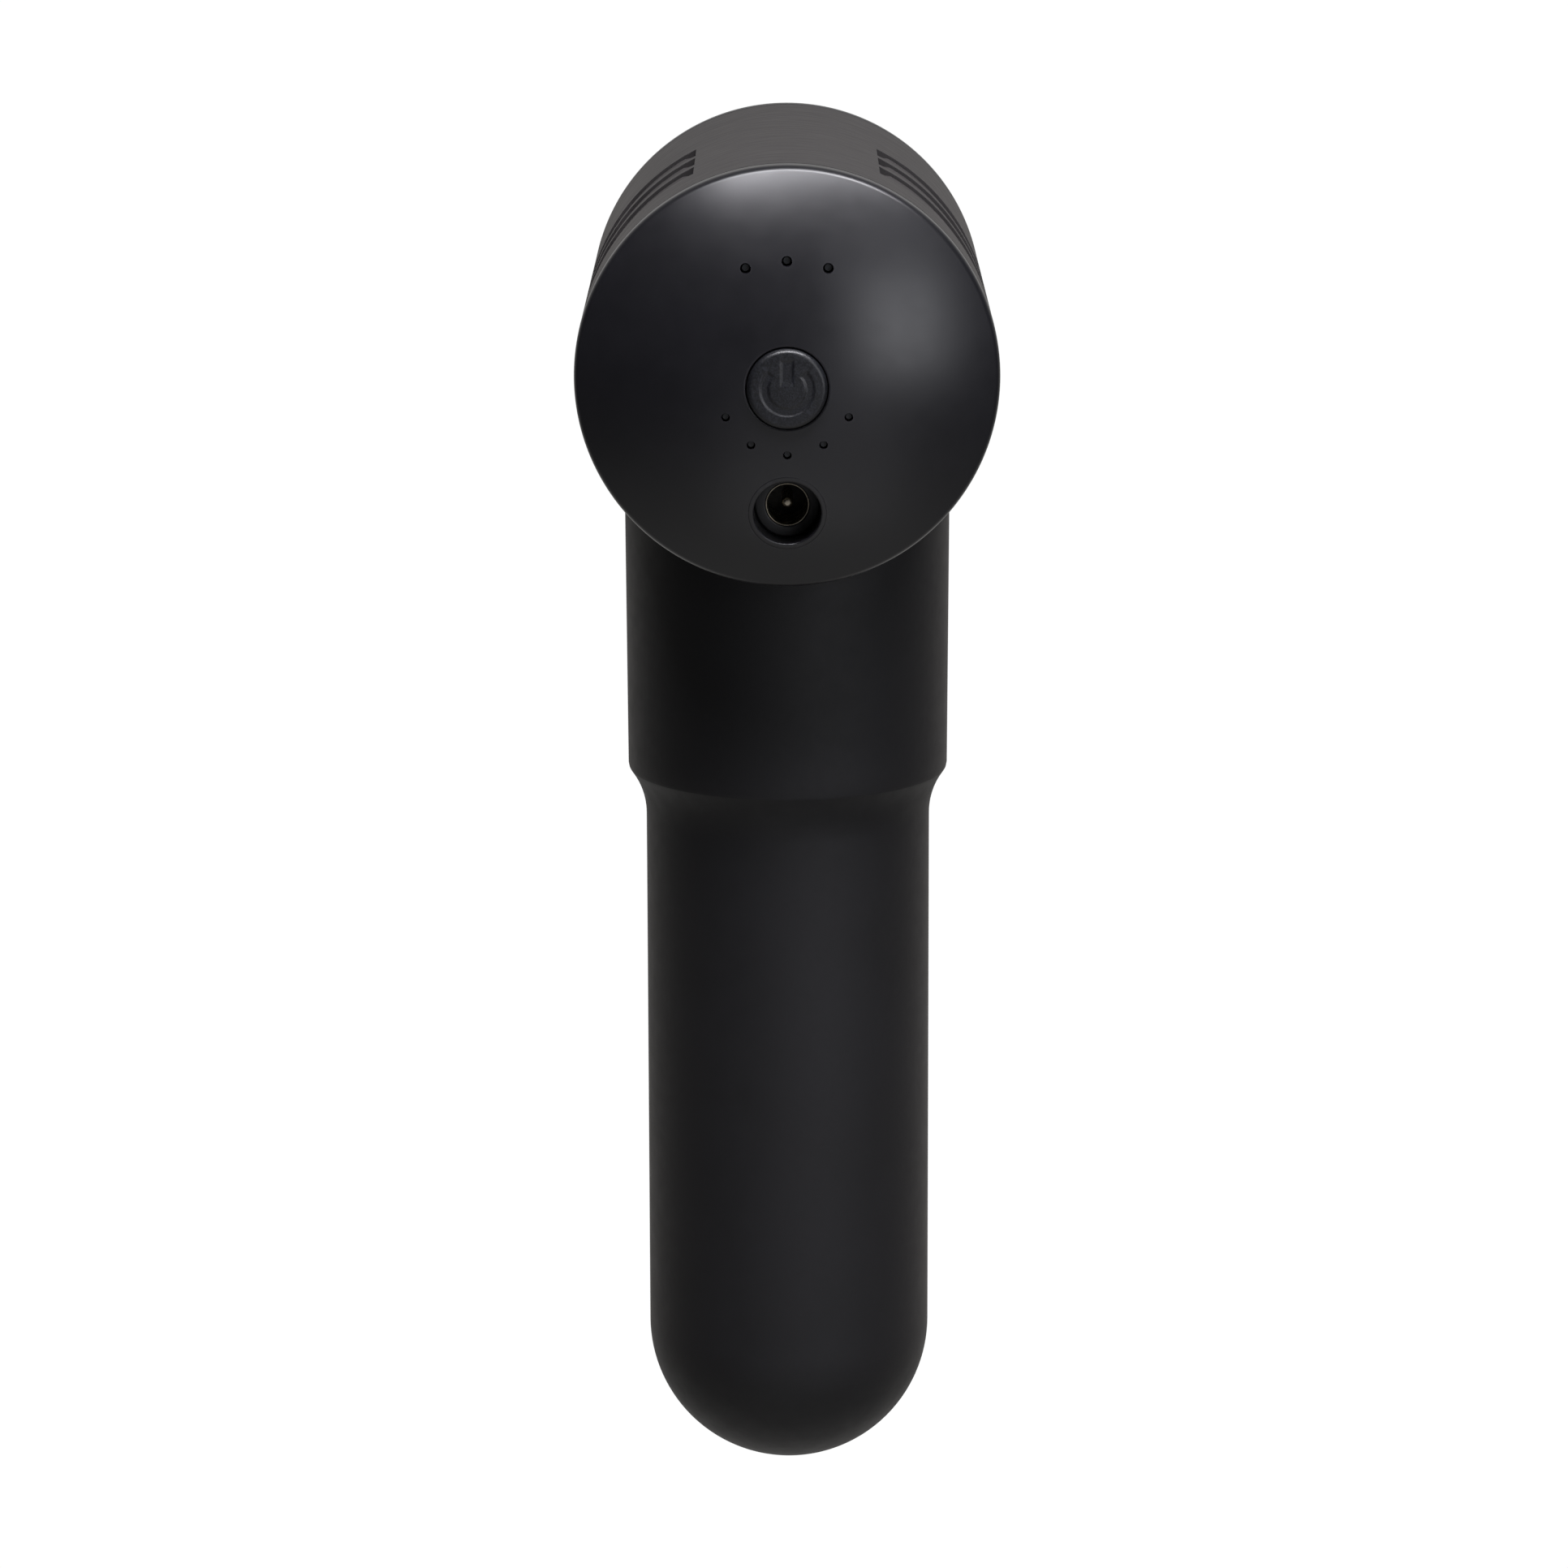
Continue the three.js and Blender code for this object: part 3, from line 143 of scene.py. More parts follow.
# The cap's dome is a sphere that meets its side in a small rounded edge.
EDGE_CENTRE_R = REAR_RADIUS - CAP_EDGE_RADIUS
DOME_RADIUS = (EDGE_CENTRE_R**2 + CAP_HEIGHT**2 - CAP_EDGE_RADIUS**2) / (2 * (CAP_HEIGHT - CAP_EDGE_RADIUS))
DOME_Y = CAP_RIM_Y - CAP_HEIGHT + DOME_RADIUS
DOME_EDGE_ANGLE = math.degrees(math.asin(EDGE_CENTRE_R / (DOME_RADIUS - CAP_EDGE_RADIUS)))


def dome_y(radius, depth=0.0):
    """The dome's y at a distance from the barrel's axis, at a depth below its outer face."""
    return DOME_Y - math.sqrt((DOME_RADIUS - depth) ** 2 - radius**2)


def barrel_radius(y):
    share = (y - CAP_RIM_Y) / (BARREL_FRONT_Y - CAP_RIM_Y)
    return REAR_RADIUS + (FRONT_RADIUS - REAR_RADIUS) * share


# ---------------------------------------------------------------- outlines and surfaces


def arc(centre_r, centre_h, radius_r, radius_h, start, end, steps):
    """Points of an arc about (centre_r, centre_h), from one angle to another, in degrees."""
    turns = [math.radians(start + (end - start) * i / steps) for i in range(steps + 1)]
    return [(centre_r + radius_r * math.cos(t), centre_h + radius_h * math.sin(t)) for t in turns]


def rounded(points, steps=5):
    """An outline with its corners rounded. A point is (radius, height) or (radius, height, fillet)."""
    made = []
    for i, point in enumerate(points):
        corner = Vector(point[:2])
        if len(point) == 2:
            made.append(tuple(corner))
            continue
        back = (Vector(points[i - 1][:2]) - corner).normalized()
        ahead = (Vector(points[(i + 1) % len(points)][:2]) - corner).normalized()
        half = back.angle(ahead) / 2
        centre = corner + (back + ahead).normalized() * (point[2] / math.sin(half))
        first = corner + back * (point[2] / math.tan(half)) - centre
        last = corner + ahead * (point[2] / math.tan(half)) - centre
        sweep = first.angle(last)
        for k in range(steps + 1):
            t = k / steps * sweep
            made.append(tuple(centre + (first * math.sin(sweep - t) + last * math.sin(t)) / math.sin(sweep)))
    return made


def skin(rows, loop=False):
    """Vertices and faces of the surface through rows of points. A row of one point is a pole."""
    starts = np.cumsum([0] + [len(row) for row in rows]).tolist()
    pairs = [(i, i + 1) for i in range(len(rows) - 1)]
    if loop:
        pairs.append((len(rows) - 1, 0))
    faces = []
    for a, b in pairs:
        count_a, count_b = len(rows[a]), len(rows[b])
        count = max(count_a, count_b)
        for k in range(count):
            n = (k + 1) % count
            corners = [
                starts[a] + k % count_a,
                starts[a] + n % count_a,
                starts[b] + n % count_b,
                starts[b] + k % count_b,
            ]
            faces.append(list(dict.fromkeys(corners)))
    return [point for row in rows for point in row], faces


def turned(outline, sides, place):
    """An outline of (radius, height) points turned into a closed skin; place gives the points."""
    turns = [2 * math.pi * k / sides for k in range(sides)]
    rows = [
        [place(0, h, 0)] if r < 1e-6 else [place(r, h, t) for t in turns]
        for r, h in outline
    ]
    return skin(rows, loop=len(rows[0]) > 1 or len(rows[-1]) > 1)


def turned_y(outline, sides, z=None):
    """The same about an axis along Y, at a height z: the barrel's axis if none is given."""
    height = AXIS_Z if z is None else z
    return turned(outline, sides, lambda r, h, t: (r * math.sin(t), h, height + r * math.cos(t)))


def turned_z(outline, sides):
    return turned(outline, sides, lambda r, h, t: (r * math.sin(t), r * math.cos(t), h))


def pin_y(radius, y0, y1, x, z, sides):
    outline = [(0, y0), (radius, y0), (radius, y1), (0, y1)]
    verts, faces = turned_y(outline, sides, z)
    return [(vx + x, vy, vz) for vx, vy, vz in verts], faces


def block(low, high):
    """A box between two corners."""
    rows = [
        [(low[0], low[1], z), (high[0], low[1], z), (high[0], high[1], z), (low[0], high[1], z)]
        for z in (low[2], high[2])
    ]
    verts, faces = skin(rows)
    return verts, faces + [[3, 2, 1, 0], [4, 5, 6, 7]]


def merged(parts):
    """Several (vertices, faces) as one."""
    verts, faces = [], []
    for part_verts, part_faces in parts:
        offset = len(verts)
        verts.extend(part_verts)
        faces.extend([[offset + i for i in face] for face in part_faces])
    return verts, faces


def mesh_object(name, parts):
    """A linked object whose closed shells all face outwards."""
    verts, faces = merged(parts)
    mesh = bpy.data.meshes.new(name)
    mesh.from_pydata((np.array(verts) * MM).tolist(), [], faces)
    shaped = bmesh.new()
    shaped.from_mesh(mesh)
    bmesh.ops.recalc_face_normals(shaped, faces=shaped.faces)
    shaped.to_mesh(mesh)
    shaped.free()
    made = bpy.data.objects.new(name, mesh)
    bpy.context.scene.collection.objects.link(made)
    return made


def carve(target, tools):
    """Cuts closed tools out of an object's mesh."""
    cutter = mesh_object("cutter", tools)
    modifier = target.modifiers.new("cut", "BOOLEAN")
    modifier.operation = "DIFFERENCE"
    modifier.solver = "MANIFOLD"
    modifier.object = cutter
    evaluated = target.evaluated_get(bpy.context.evaluated_depsgraph_get())
    target.data = bpy.data.meshes.new_from_object(evaluated)
    target.modifiers.clear()
    bpy.data.objects.remove(cutter)


def soften(made, angle=32):
    """Smooth shading, with edges sharper than the angle kept crisp."""
    made.data.shade_smooth()
    made.data.set_sharp_from_angle(angle=math.radians(angle))


def fetched(items, field, width, kind=float):
    """One field of every item of a mesh, a row for each."""
    values = np.zeros(len(items) * width, kind)
    items.foreach_get(field, values)
    return values.reshape(-1, width)


def true_dome_normals(made):
    """Gives each corner on the cap's dome the sphere's own normal, so that holes leave no shading marks."""
    mesh = made.data
    vertex = fetched(mesh.loops, "vertex_index", 1, np.int32)[:, 0]
    normals = fetched(mesh.corner_normals, "vector", 3)
    sizes = fetched(mesh.polygons, "loop_total", 1, np.int32)[:, 0]
    facing = np.repeat(fetched(mesh.polygons, "normal", 3), sizes, axis=0)
    offset = fetched(mesh.vertices, "co", 3)[vertex] - np.array([0, DOME_Y, AXIS_Z]) * MM
    distance = np.linalg.norm(offset, axis=1)
    radial = offset / distance[:, None]
    on_dome = (abs(distance - DOME_RADIUS * MM) < 4e-6) & ((radial * facing).sum(1) > 0.97)
    normals[on_dome] = radial[on_dome]
    mesh.normals_split_custom_set(normals.tolist())


# ---------------------------------------------------------------- materials


class Look:
    """A material in the making: one Principled shader whose inputs are worked out in object space."""

    def __init__(self, name, **fixed):
        self.material = bpy.data.materials.new(name)
        self.material.use_nodes = True
        self.tree = self.material.node_tree
        self.shader = self.tree.nodes["Principled BSDF"]
        for socket, value in fixed.items():
            self.shader.inputs[socket.replace("_", " ")].default_value = value
        self.place = self.node("ShaderNodeTexCoord").outputs["Object"]
        self.normal = None

    def node(self, kind, **settings):
        made = self.tree.nodes.new(kind)
        for name, value in settings.items():
            setattr(made, name, value)
        return made

    def feed(self, socket, value):
        """Links an output to a socket, or sets the socket to a plain value."""
        if isinstance(value, bpy.types.NodeSocket):
            self.tree.links.new(value, socket)
        else:
            socket.default_value = value

    def stretched(self, scale):
        """Object coordinates stretched by a scale on each axis."""
        made = self.node("ShaderNodeVectorMath", operation="MULTIPLY")
        self.feed(made.inputs[0], self.place)
        made.inputs[1].default_value = scale
        return made.outputs[0]

    def noise(self, per_mm, detail, vector=None):
        made = self.node("ShaderNodeTexNoise")
        self.feed(made.inputs["Vector"], vector or self.place)
        made.inputs["Scale"].default_value = per_mm / MM
        made.inputs["Detail"].default_value = detail
        return made.outputs["Fac"]

    def cells(self, per_mm):
        made = self.node("ShaderNodeTexVoronoi")
        self.feed(made.inputs["Vector"], self.place)
        made.inputs["Scale"].default_value = per_mm / MM
        return made.outputs["Distance"]

    def waves(self, per_mm, axis, distortion):
        made = self.node("ShaderNodeTexWave", bands_direction=axis)
        self.feed(made.inputs["Vector"], self.place)
        made.inputs["Scale"].default_value = per_mm / MM
        made.inputs["Distortion"].default_value = distortion
        return made.outputs["Fac"]

    def edges(self, start=0.52, end=0.58):
        """0 on flat and hollow places, up to 1 along outer edges."""
        return self.mapped(self.node("ShaderNodeNewGeometry").outputs["Pointiness"], start, end, 0, 1)

    def mapped(self, value, low, high, new_low, new_high):
        made = self.node("ShaderNodeMapRange")
        self.feed(made.inputs["Value"], value)
        for socket, number in zip(made.inputs[1:5], (low, high, new_low, new_high)):
            socket.default_value = number
        return made.outputs[0]

    def mixed(self, share, first, second):
        """A colour between two colours."""
        made = self.node("ShaderNodeMix", data_type="RGBA")
        self.feed(made.inputs[0], share)
        for socket, value in ((made.inputs[6], first), (made.inputs[7], second)):
            self.feed(socket, value if isinstance(value, bpy.types.NodeSocket) else (*value, 1.0))
        return made.outputs[2]

    def colour(self, value):
        self.feed(self.shader.inputs["Base Color"], value)

    def roughness(self, value):
        self.feed(self.shader.inputs["Roughness"], value)

    def bump(self, height, depth_mm):
        """Adds relief of this depth to what is already there."""
        made = self.node("ShaderNodeBump")
        made.inputs["Strength"].default_value = 1.0
        made.inputs["Distance"].default_value = depth_mm * MM
        self.feed(made.inputs["Height"], height)
        if self.normal:
            self.feed(made.inputs["Normal"], self.normal)
        self.normal = made.outputs["Normal"]
        self.feed(self.shader.inputs["Normal"], self.normal)


def shade(colour, factor):
    return tuple(channel * factor for channel in colour)


def moulded(
    name, colour, roughness, grain_per_mm, grain_mm,
    edge_highlight=1.7, spread=0.05, streak=(1, 1, 1), shine=0.5, haze=0.0,
):
    """Moulded or coated plastic: fine grain, faint blotches or streaks, edges painted paler as a highlight, a
    hazy sheen.
    """
    look = Look(name, Specular_IOR_Level=shine, Sheen_Weight=haze, Sheen_Tint=(1.0, 0.88, 0.76, 1.0))
    streaked = look.stretched(streak)
    blotch = look.noise(0.06, 4.0, streaked)
    grain = look.noise(grain_per_mm, 3.0)
    edge = look.edges()
    toned = look.mixed(look.mapped(blotch, 0.35, 0.65, 0, 1), shade(colour, 0.88), shade(colour, 1.12))
    specked = look.mixed(look.mapped(grain, 0.55, 0.8, 0, 0.35), toned, shade(colour, 1.7))
    # Outer edges are painted paler than the body: a painted highlight where the rounded edges catch the
    # light.
    look.colour(look.mixed(edge, specked, shade(colour, edge_highlight)))
    uneven = look.noise(0.35, 5.0, streaked)
    look.roughness(look.mapped(uneven, 0.3, 0.7, roughness - spread, roughness + spread))
    look.bump(grain, grain_mm)
    look.bump(look.noise(0.9, 2.0), grain_mm * 1.5)
    return look.material


def soft_touch():
    return moulded(
        "soft_touch", (0.0150, 0.0136, 0.0136), 0.60, 5.0, 0.006,
        spread=0.09, streak=(0.4, 6, 0.4), shine=0.40, haze=0.015,
    )


def cap_plastic():
    return moulded("cap_plastic", (0.0073, 0.0072, 0.0088), 0.32, 3.5, 0.0016, spread=0.02)


def silicone():
    return moulded("silicone", (0.0056, 0.0055, 0.0068), 0.60, 4.0, 0.006, spread=0.03, shine=0.38, haze=0.03)


def button():
    """Satin grey with a coarse sparkle, as on a textured key, and a painted highlight along its rim."""
    look = Look("button")
    colour = (0.0052, 0.0056, 0.0072)
    grain = look.noise(4.5, 2.0)
    sparkle = look.mapped(grain, 0.42, 0.72, 0, 1)
    # Outer edges of the key are painted 2.4 times paler: a painted highlight along its rounded rim.
    edge = look.edges(0.515, 0.56)
    toned = look.mixed(sparkle, shade(colour, 0.6), shade(colour, 2.6))
    look.colour(look.mixed(edge, toned, shade(colour, 2.4)))
    look.roughness(look.mapped(look.noise(2.0, 3.0), 0.3, 0.7, 0.34, 0.44))
    look.bump(grain, 0.02)
    return look.material


def inner_plastic():
    return moulded("inner_plastic", (0.012, 0.012, 0.013), 0.5, 4.0, 0.01)


def rubber():
    return moulded("rubber_seal", (0.010, 0.010, 0.010), 0.72, 5.0, 0.012)


def light_guide():
    look = Look("light_guide", IOR=1.49)
    look.colour(look.mixed(look.noise(1.5, 2.0), (0.03, 0.032, 0.035), (0.055, 0.06, 0.066)))
    look.roughness(look.mapped(look.noise(3.0, 2.0), 0.3, 0.7, 0.12, 0.25))
    look.bump(look.noise(2.0, 2.0), 0.01)
    return look.material


def bushing():
    return moulded("bushing_plastic", (0.55, 0.53, 0.47), 0.42, 3.0, 0.008, 1.08)


def foam():
    """Dense closed-cell foam: round cells of two sizes, dusty high spots."""
    look = Look("foam", Sheen_Weight=0.25, Sheen_Roughness=0.6)
    colour = (0.022, 0.022, 0.024)
    cells = look.cells(1.6)
    pores = look.cells(3.9)
    toned = look.mixed(look.mapped(cells, 0.1, 0.6, 0, 1), shade(colour, 1.4), shade(colour, 0.8))
    look.colour(look.mixed(look.edges(0.51, 0.56), toned, shade(colour, 1.8)))
    look.roughness(look.mapped(look.noise(0.5, 4.0), 0.3, 0.7, 0.78, 0.95))
    look.bump(cells, 0.09)
    look.bump(pores, 0.04)
    return look.material


def board():
    """Green solder mask with copper tracks under it."""
    look = Look("board")
    tracks = look.mapped(look.waves(0.25, "X", 3.0), 0.55, 0.62, 0, 1)
    look.colour(look.mixed(tracks, (0.012, 0.075, 0.030), (0.022, 0.120, 0.050)))
    look.roughness(look.mapped(look.noise(1.0, 3.0), 0.3, 0.7, 0.28, 0.42))
    look.bump(tracks, 0.03)
    return look.material


def battery_wrap():
    """Heat-shrunk sleeve, glossy with slight ripples."""
    look = Look("battery_wrap", Coat_Weight=0.3, Coat_Roughness=0.2)
    look.colour(look.mixed(look.noise(0.1, 3.0), (0.022, 0.120, 0.270), (0.032, 0.160, 0.340)))
    look.roughness(look.mapped(look.noise(0.5, 3.0), 0.3, 0.7, 0.25, 0.4))
    look.bump(look.noise(0.3, 2.0, look.stretched((1, 1, 0.25))), 0.15)
    return look.material


def lead_wire():
    return moulded("lead_wire", (0.30, 0.016, 0.014), 0.45, 6.0, 0.006, 1.3)


def copper():
    """Enamelled windings: close parallel turns."""
    look = Look("copper", Metallic=1.0)
    turns = look.waves(1.0, "Z", 0.4)
    look.colour(look.mixed(turns, (0.28, 0.10, 0.035), (0.60, 0.26, 0.11)))
    look.roughness(look.mapped(look.noise(1.0, 3.0), 0.3, 0.7, 0.28, 0.45))
    look.bump(turns, 0.12)
    return look.material


def turned_metal(name, colour, roughness, axis):
    """Metal with fine tool marks across one axis and a little staining."""
    look = Look(name, Metallic=1.0)
    marks = look.waves(5.0, axis, 1.2)
    stain = look.noise(0.12, 5.0)
    toned = look.mixed(look.mapped(stain, 0.35, 0.7, 0, 1), colour, shade(colour, 0.78))
    look.colour(look.mixed(look.edges(), toned, shade(colour, 1.25)))
    look.roughness(look.mapped(look.noise(0.8, 4.0), 0.3, 0.7, roughness - 0.07, roughness + 0.09))
    look.bump(marks, 0.004)
    return look.material


def steel():
    return turned_metal("steel", (0.46, 0.465, 0.475), 0.30, "Z")


def alloy():
    """Die-cast aluminium with an orange-peel skin."""
    look = Look("alloy", Metallic=1.0)
    colour = (0.42, 0.43, 0.445)
    skin_grain = look.noise(1.2, 5.0)
    toned = look.mixed(look.mapped(skin_grain, 0.3, 0.7, 0, 1), shade(colour, 0.85), colour)
    look.colour(look.mixed(look.edges(), toned, shade(colour, 1.3)))
    look.roughness(look.mapped(look.noise(0.6, 4.0), 0.3, 0.7, 0.34, 0.5))
    look.bump(skin_grain, 0.03)
    return look.material


def brass():
    return turned_metal("brass", (0.40, 0.36, 0.28), 0.30, "Y")


def magnet():
    return turned_metal("magnet", (0.10, 0.10, 0.108), 0.4, "Z")


MAKERS = {
    "soft_touch": soft_touch,
    "cap_plastic": cap_plastic,
    "silicone": silicone,
    "button": button,
    "inner_plastic": inner_plastic,
    "rubber_seal": rubber,
    "light_guide": light_guide,
    "bushing_plastic": bushing,
    "foam": foam,
    "board": board,
    "battery_wrap": battery_wrap,
    "lead_wire": lead_wire,
    "copper": copper,
    "steel": steel,
    "alloy": alloy,
    "brass": brass,
    "magnet": magnet,
}
LOOKS = {slot: make() for slot, make in MAKERS.items()}
SLOT_OF = {part["node"]: part["material_slot"] for part in frame["record"]["subparts"]}
BODY_OF = {
    node: body
    for body, nodes in frame["record"]["behaviour"]["bodies"].items()
    for node in nodes
}


def dress(made, slot):
    """Gives an object one material, in its first material slot."""
    if not made.material_slots:
        made.data.materials.append(None)
    for place in made.material_slots:
        place.material = LOOKS[slot]


def stand_for(node, made):
    """The object takes the place of a CAD node: its body, its slot and its material."""
    made.name = f"{node}_look"
    dress(made, SLOT_OF[node])
    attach(made, BODY_OF[node])
    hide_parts(node)


def turned_piece(node, name, outline, sides, z=None, crisp=32):
    """A CAD node's stand-in that is one outline turned about an axis along Y."""
    made = mesh_object(name, [turned_y(outline, sides, z)])
    soften(made, crisp)
    stand_for(node, made)


def bevelled(made, width_mm, share):
    """Rounds crisp edges. share takes the middle of an edge and gives its part of the width, 0 to 1."""
    crisp = math.radians(40)
    shaped = bmesh.new()
    shaped.from_mesh(made.data)
    weights = shaped.edges.layers.float.new("bevel_weight_edge")
    for edge in shaped.edges:
        if edge.calc_face_angle(0) > crisp:
            edge[weights] = share((edge.verts[0].co + edge.verts[1].co) / (2 * MM))
    shaped.to_mesh(made.data)
    shaped.free()
    modifier = made.modifiers.new("edges", "BEVEL")
    modifier.width = width_mm * MM
    modifier.segments = 4
    modifier.limit_method = "WEIGHT"


# ---------------------------------------------------------------- housing


def spaced(marks, step):
    """Values that pass through every mark, no further apart than a step."""
    made = [marks[0]]
    for start, end in zip(marks, marks[1:]):
        count = max(1, math.ceil((end - start) / step - 1e-9))
        made.extend(start + (end - start) * (i + 1) / count for i in range(count))
    return made


def vent_spans():
    starts = [VENT_START_Y + i * (VENT_WIDTH + VENT_RIB) for i in range(VENT_COUNT)]
    return [(start, start + VENT_WIDTH) for start in starts]


def is_open(angle, y):
    """Whether a place on the barrel is in a vent or over the neck's bore. Degrees from the top."""
    from_top = min(angle, 360 - angle)
    if VENT_TOP_ANGLE < from_top < VENT_END_ANGLE and any(a < y < b for a, b in vent_spans()):
        return True
    turn = math.radians(angle)
    return math.cos(turn) < 0 and math.hypot(barrel_radius(y) * math.sin(turn), y) < NECK_BORE_RADIUS


def shell_grid():
    """Places along the barrel, angles round it, and which of the cells between them are left open."""
    ends = [BARREL_REAR_Y, BARREL_FRONT_Y, *(y for span in vent_spans() for y in span)]
    ys = spaced(sorted(ends), SHELL_CELL_Y)
    half = [0, VENT_TOP_ANGLE, VENT_END_ANGLE, 180]
    angles = spaced([*half, 360 - VENT_END_ANGLE, 360 - VENT_TOP_ANGLE, 360], SHELL_CELL_ANGLE)
    opened = [
        [is_open((angle + next_angle) / 2, (y + next_y) / 2) for angle, next_angle in zip(angles, angles[1:])]
        for y, next_y in zip(ys, ys[1:])
    ]
    return ys, angles[:-1], opened


def on_bore_edge(opened, i, j, angle):
    """Whether a grid point under the barrel lies between open and closed cells."""
    around = [
        opened[a][b % len(opened[0])]
        for a in (i - 1, i)
        if 0 <= a < len(opened)
        for b in (j - 1, j)
    ]
    near_bottom = math.cos(math.radians(angle)) < -0.5
    return near_bottom and any(around) and not all(around)


def shell_point(angle, y, depth, drawn_to_bore):
    """A point below the barrel's outer face, moved onto the neck's bore if it bounds that opening."""
    turn = math.radians(angle)
    if drawn_to_bore:
        x = barrel_radius(y) * math.sin(turn)
        grow = NECK_BORE_RADIUS / math.hypot(x, y)
        x, y = x * grow, y * grow
        radius = barrel_radius(y) - depth
        return (x, y, AXIS_Z - math.sqrt(radius**2 - x**2))
    radius = barrel_radius(y) - depth
    return (radius * math.sin(turn), y, AXIS_Z + radius * math.cos(turn))


def shell_faces(opened):
    """Outer and inner faces of the closed cells, and walls at the ends and round every opening."""
    rows, columns = len(opened) + 1, len(opened[0])
    offset = rows * columns
    faces = []

    def wall(first, second):
        faces.append([first, second, offset + second, offset + first])

    for j in range(columns):
        n = (j + 1) % columns
        wall(j, n)
        wall((rows - 1) * columns + n, (rows - 1) * columns + j)
        for i in range(rows - 1):
            if opened[i][j]:
                continue
            corners = [i * columns + j, (i + 1) * columns + j, (i + 1) * columns + n, i * columns + n]
            faces.append(corners)
            faces.append([offset + corner for corner in reversed(corners)])
            if opened[i][n]:
                wall(corners[2], corners[3])
            if opened[i][j - 1]:
                wall(corners[0], corners[1])
            if i + 1 < rows - 1 and opened[i + 1][j]:
                wall(corners[1], corners[2])
            if i > 0 and opened[i - 1][j]:
                wall(corners[3], corners[0])
    return faces


def barrel_shell():
    """The barrel's wall as a grid of cells, with cells left out for the vents and over the neck's bore."""
    ys, angles, opened = shell_grid()
    verts = [
        shell_point(angle, y, depth, on_bore_edge(opened, i, j, angle))
        for depth in (0, BARREL_WALL)
        for i, y in enumerate(ys)
        for j, angle in enumerate(angles)
    ]
    faces = shell_faces(opened)
    used = sorted({index for face in faces for index in face})
    renumbered = {old: new for new, old in enumerate(used)}
    return [verts[old] for old in used], [[renumbered[index] for index in face] for face in faces]


def handle_core():
    """The tube under the sleeve, from the handle's foot up into the barrel's wall."""
    outer = GRIP_RADIUS - SLEEVE_WALL - 0.1
    neck = NECK_RADIUS - SLEEVE_WALL - 0.1
    turns = [2 * math.pi * k / MEDIUM for k in range(MEDIUM)]

    def ring(radius, z):
        return [(radius * math.sin(t), radius * math.cos(t), z) for t in turns]

    def top_ring(radius):
        made = []
        for x, y, _ in ring(radius, 0):
            middle = barrel_radius(y) - BARREL_WALL / 2
            made.append((x, y, AXIS_Z - math.sqrt(middle**2 - x**2)))
        return made

    rows = [
        ring(outer - CORE_WALL, HOUSING_LOW.z),
        ring(outer, HOUSING_LOW.z),
        ring(outer, STEP_BOTTOM_Z + 2.5),
        ring(neck, STEP_Z + 0.8),
        top_ring(neck),
        top_ring(NECK_BORE_RADIUS),
        ring(NECK_BORE_RADIUS, STEP_Z + 0.4),
        ring(outer - CORE_WALL, STEP_BOTTOM_Z + 1.5),
    ]
    return skin(rows, loop=True)


def louvre(start, end, side):
    """A vane behind a vent: deep along its rear edge, nearly flush in front, sunk at its upper end."""
    into_rib = 0.8
    top, bottom = VENT_TOP_ANGLE - 2, VENT_END_ANGLE + 2
    rows = []
    for angle in spaced([top, VENT_TOP_ANGLE + LOUVRE_RUN, bottom], 1.5):
        share = max(0.0, 1 - (angle - VENT_TOP_ANGLE) / LOUVRE_RUN)
        sunk = LOUVRE_SUNK * min(1.0, share) ** 2
        turn = math.radians(angle)
        row = []
        for y, depth in (
            (start - into_rib, LOUVRE_DEEP),
            (end - LOUVRE_GAP, LOUVRE_SHALLOW),
            (end - LOUVRE_GAP, LOUVRE_SHALLOW + LOUVRE_WALL),
            (start - into_rib, LOUVRE_DEEP + LOUVRE_WALL),
        ):
            radius = barrel_radius(y) - depth - sunk
            row.append((side * radius * math.sin(turn), y, AXIS_Z + radius * math.cos(turn)))
        rows.append(row)
    verts, faces = skin(rows)
    last = len(verts) - 4
    return verts, faces + [[3, 2, 1, 0], [last, last + 1, last + 2, last + 3]]


def make_housing():
    vanes = [louvre(start, end, side) for start, end in vent_spans() for side in (-1, 1)]
    made = mesh_object("housing", [barrel_shell(), handle_core(), *vanes])
    soften(made)

    def share(middle):
        """Full along the vents' outer edges, a third at the barrel's ends and none elsewhere."""
        depth = barrel_radius(middle.y) - math.hypot(middle.x, middle.z - AXIS_Z)
        if abs(depth) > 0.2:
            return 0.0
        at_end = min(middle.y - BARREL_REAR_Y, BARREL_FRONT_Y - middle.y) < 0.1
        return 0.35 if at_end else 1.0

    bevelled(made, 0.6, share)
    stand_for("main_housing", made)


def sleeve_outline(dome_height):
    """The sleeve's outer face as (radius, z), from the handle's foot up to the neck."""
    rise = STEP_BOTTOM_Z - DOME_Z
    hollow = arc(
        GRIP_RADIUS + STEP_FILLET_RADIUS, STEP_BOTTOM_Z,
        STEP_FILLET_RADIUS, STEP_FILLET_RADIUS,
        180, 180 - STEP_FILLET_SWEEP, 12,
    )
    lip = [
        (NECK_RADIUS - 0.12, STEP_Z - STEP_EDGE * 0.55, 0.25),
        (NECK_RADIUS, STEP_Z + 0.1),
    ]
    return [
        *arc(0, DOME_Z, GRIP_RADIUS, dome_height, -90, 0, 32),
        *[(GRIP_RADIUS, DOME_Z + rise * i / 12) for i in range(1, 12)],
        *hollow,
        *rounded([hollow[-1], *lip])[1:],
    ]


